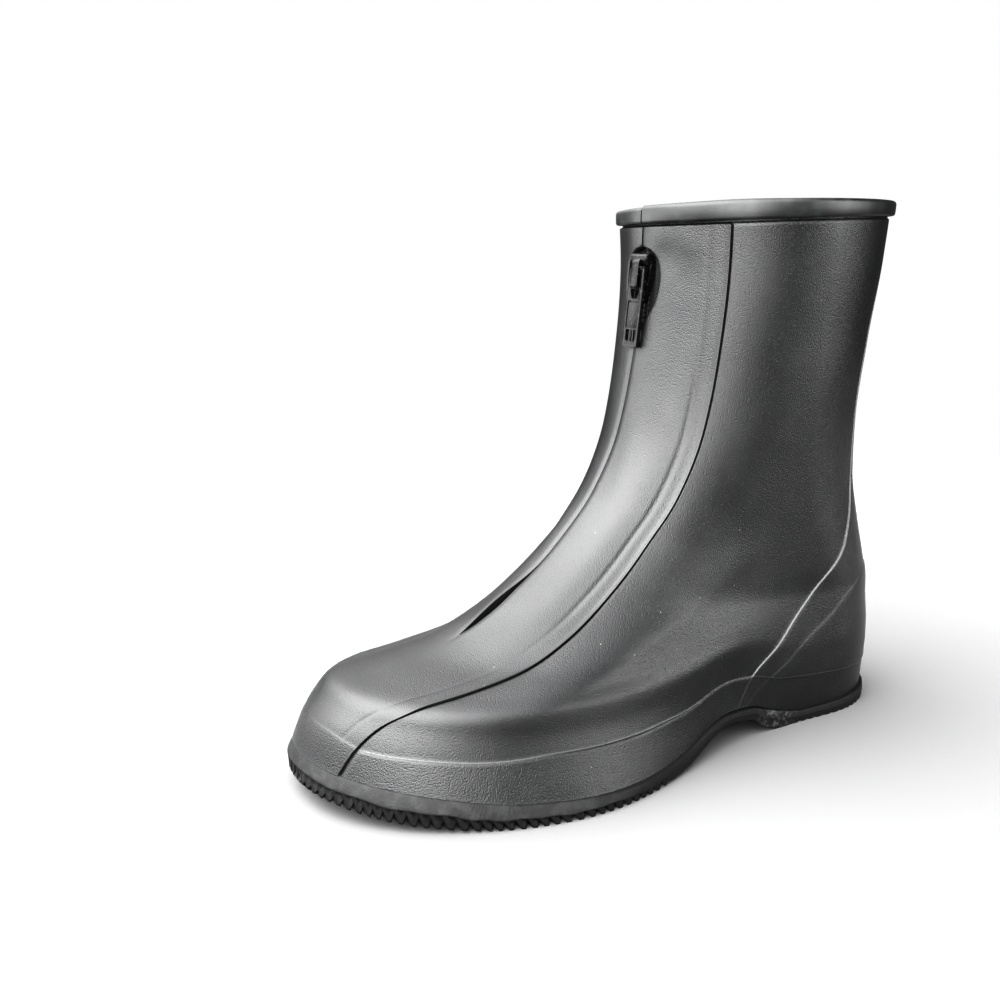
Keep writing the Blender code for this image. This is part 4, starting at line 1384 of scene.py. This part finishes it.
def make_key_light():
    """Soft area light aimed at the overshoe."""
    light = bpy.data.lights.new("key", "AREA")
    light.shape = "RECTANGLE"
    light.size, light.size_y = KEY_SIZE
    light.energy = settings().stage.key
    lamp = bpy.data.objects.new("key", light)
    bpy.context.scene.collection.objects.link(lamp)
    back = unit(KEY_PLACE - LIGHT_TARGET)
    side = unit(np.cross((0, 0, 1), back))
    turn = Matrix(np.stack([side, np.cross(back, side), back], axis=1).tolist()).to_4x4()
    lamp.matrix_world = Matrix.Translation(KEY_PLACE) @ turn


def make_world():
    """Dome of light with soft bright patches, and plain white behind the overshoe."""
    view = bpy.context.scene.view_settings
    view.view_transform = "Standard"
    view.gamma = VIEW_GAMMA
    world = bpy.data.worlds.new("studio")
    world.use_nodes = True
    bpy.context.scene.world = world
    look = settings().stage
    graph = Graph(world.node_tree)
    way = graph.node("ShaderNodeTexCoord", out="Generated")
    height = graph.node("ShaderNodeSeparateXYZ", None, {0: way}, "Z")

    def patch(toward, rise):
        """Soft round patch of the dome, from 0 to 1."""
        facing = graph.node(
            "ShaderNodeVectorMath", {"operation": "DOT_PRODUCT"}, {0: way, 1: toward}, "Value")
        return facing.rise(*rise)

    light = {name: patch(*place) * getattr(look, name) for name, place in SKY.items()}
    dim = patch(*DIM_PATCH) * DIM_SHARE
    horizon = HORIZON_SHARE + height.rise(*HORIZON_RISE) * (1 - HORIZON_SHARE)
    dome = light["dome"] * horizon * (1 - dim) + light["side"] + light["inner"] + light["front"]
    dome = dome + light["back"] * height.rise(*BACK_LOW) + LOW_LIGHT
    seen = graph.node("ShaderNodeLightPath", out="Is Camera Ray")
    strength = dome * (1 - seen) + seen
    background = world.node_tree.nodes["Background"]
    background.inputs["Color"].default_value = (1, 1, 1, 1)
    world.node_tree.links.new(strength.socket, background.inputs["Strength"])


def make_camera():
    """Camera at the photograph's place and angle."""
    data = bpy.data.cameras.new("camera")
    data.sensor_width = SENSOR_WIDTH
    data.lens = settings().stage.lens
    data.clip_start = CLIP_START
    camera = bpy.data.objects.new("camera", data)
    bpy.context.scene.collection.objects.link(camera)
    turn = Matrix.Rotation(math.radians(CAMERA_YAW), 4, "Z")
    turn = turn @ Matrix.Rotation(math.radians(90 - CAMERA_PITCH), 4, "X")
    turn = turn @ Matrix.Rotation(math.radians(CAMERA_ROLL), 4, "Z")
    camera.matrix_world = Matrix.Translation(CAMERA_PLACE) @ turn
    bpy.context.scene.camera = camera


# Operators
class OVERSHOE_OT_stage(bpy.types.Operator):
    """Build the floor, the light and the camera"""
    bl_idname = "overshoe.stage"
    bl_label = "Stage"

    def execute(self, context):
        make_floor()
        make_key_light()
        make_world()
        make_camera()
        return {"FINISHED"}


class OVERSHOE_OT_upper(bpy.types.Operator):
    """Build the rubber upper with its panel, counter, foxing and collar band"""
    bl_idname = "overshoe.upper"
    bl_label = "Upper"

    def execute(self, context):
        dress(make_upper(), "rubber_upper", SHOE_BODY, "upper")
        return {"FINISHED"}


class OVERSHOE_OT_lining(bpy.types.Operator):
    """Build the knitted lining inside the upper"""
    bl_idname = "overshoe.lining"
    bl_label = "Lining"

    def execute(self, context):
        dress(make_lining(), "lining", SHOE_BODY)
        return {"FINISHED"}


class OVERSHOE_OT_outsole(bpy.types.Operator):
    """Build the moulded sole with its toothed edge"""
    bl_idname = "overshoe.outsole"
    bl_label = "Outsole"

    def execute(self, context):
        dress(make_outsole(), "rubber_sole", SHOE_BODY, "outsole")
        return {"FINISHED"}


class OVERSHOE_OT_insole(bpy.types.Operator):
    """Build the insole sheet"""
    bl_idname = "overshoe.insole"
    bl_label = "Insole"

    def execute(self, context):
        dress(make_insole(), "lining", SHOE_BODY, "insole")
        return {"FINISHED"}


class OVERSHOE_OT_tapes(bpy.types.Operator):
    """Build the two woven zip tapes"""
    bl_idname = "overshoe.tapes"
    bl_label = "Zip Tapes"

    def execute(self, context):
        dress(make_tape("tape_outer", 1), "tape", SHOE_BODY, "zip_tape_left")
        dress(make_tape("tape_inner", -1), "tape", SHOE_BODY, "zip_tape_right")
        return {"FINISHED"}


class OVERSHOE_OT_chain(bpy.types.Operator):
    """Build the zip's teeth"""
    bl_idname = "overshoe.chain"
    bl_label = "Zip Teeth"

    def execute(self, context):
        dress(make_chain(), "zip_teeth", SHOE_BODY, "zip_chain")
        return {"FINISHED"}


class OVERSHOE_OT_slider(bpy.types.Operator):
    """Build the zip's slider"""
    bl_idname = "overshoe.slider"
    bl_label = "Slider"

    def execute(self, context):
        dress(make_slider(), "zip_metal", SHOE_BODY, "zip_slider")
        return {"FINISHED"}


class OVERSHOE_OT_pull_tab(bpy.types.Operator):
    """Build the slider's pull tab"""
    bl_idname = "overshoe.pull_tab"
    bl_label = "Pull Tab"

    def execute(self, context):
        dress(make_pull_tab(), "zip_metal", TAB_BODY, "pull_tab")
        return {"FINISHED"}


OPERATORS = (
    OVERSHOE_OT_stage, OVERSHOE_OT_upper, OVERSHOE_OT_lining, OVERSHOE_OT_outsole, OVERSHOE_OT_insole,
    OVERSHOE_OT_tapes, OVERSHOE_OT_chain, OVERSHOE_OT_slider, OVERSHOE_OT_pull_tab)


class OVERSHOE_PT_sidebar(bpy.types.Panel):
    """Settings and operators of the overshoe"""
    bl_idname = "OVERSHOE_PT_sidebar"
    bl_label = "Zip Overshoe"
    bl_space_type = "VIEW_3D"
    bl_region_type = "UI"
    bl_category = "Overshoe"

    def draw(self, context):
        for group in (settings().upper, settings().finish, settings().stage):
            box = self.layout.box()
            for name in group.__annotations__:
                box.prop(group, name)
        for operator in OPERATORS:
            self.layout.operator(operator.bl_idname)


CLASSES = (UpperSettings, FinishSettings, StageSettings, OvershoeSettings, *OPERATORS, OVERSHOE_PT_sidebar)


def register():
    """Register the classes and keep the settings on the scene."""
    for item in CLASSES:
        bpy.utils.register_class(item)
    bpy.types.Scene.overshoe = PointerProperty(type=OvershoeSettings)


def unregister():
    """Remove the settings and the classes."""
    del bpy.types.Scene.overshoe
    for item in reversed(CLASSES):
        bpy.utils.unregister_class(item)


def main():
    """Build the stage and the pieces."""
    register()
    bpy.ops.overshoe.stage()
    bpy.ops.overshoe.upper()
    bpy.ops.overshoe.lining()
    bpy.ops.overshoe.outsole()
    bpy.ops.overshoe.insole()
    bpy.ops.overshoe.tapes()
    bpy.ops.overshoe.chain()
    bpy.ops.overshoe.slider()
    bpy.ops.overshoe.pull_tab()


if __name__ == "__main__":
    main()
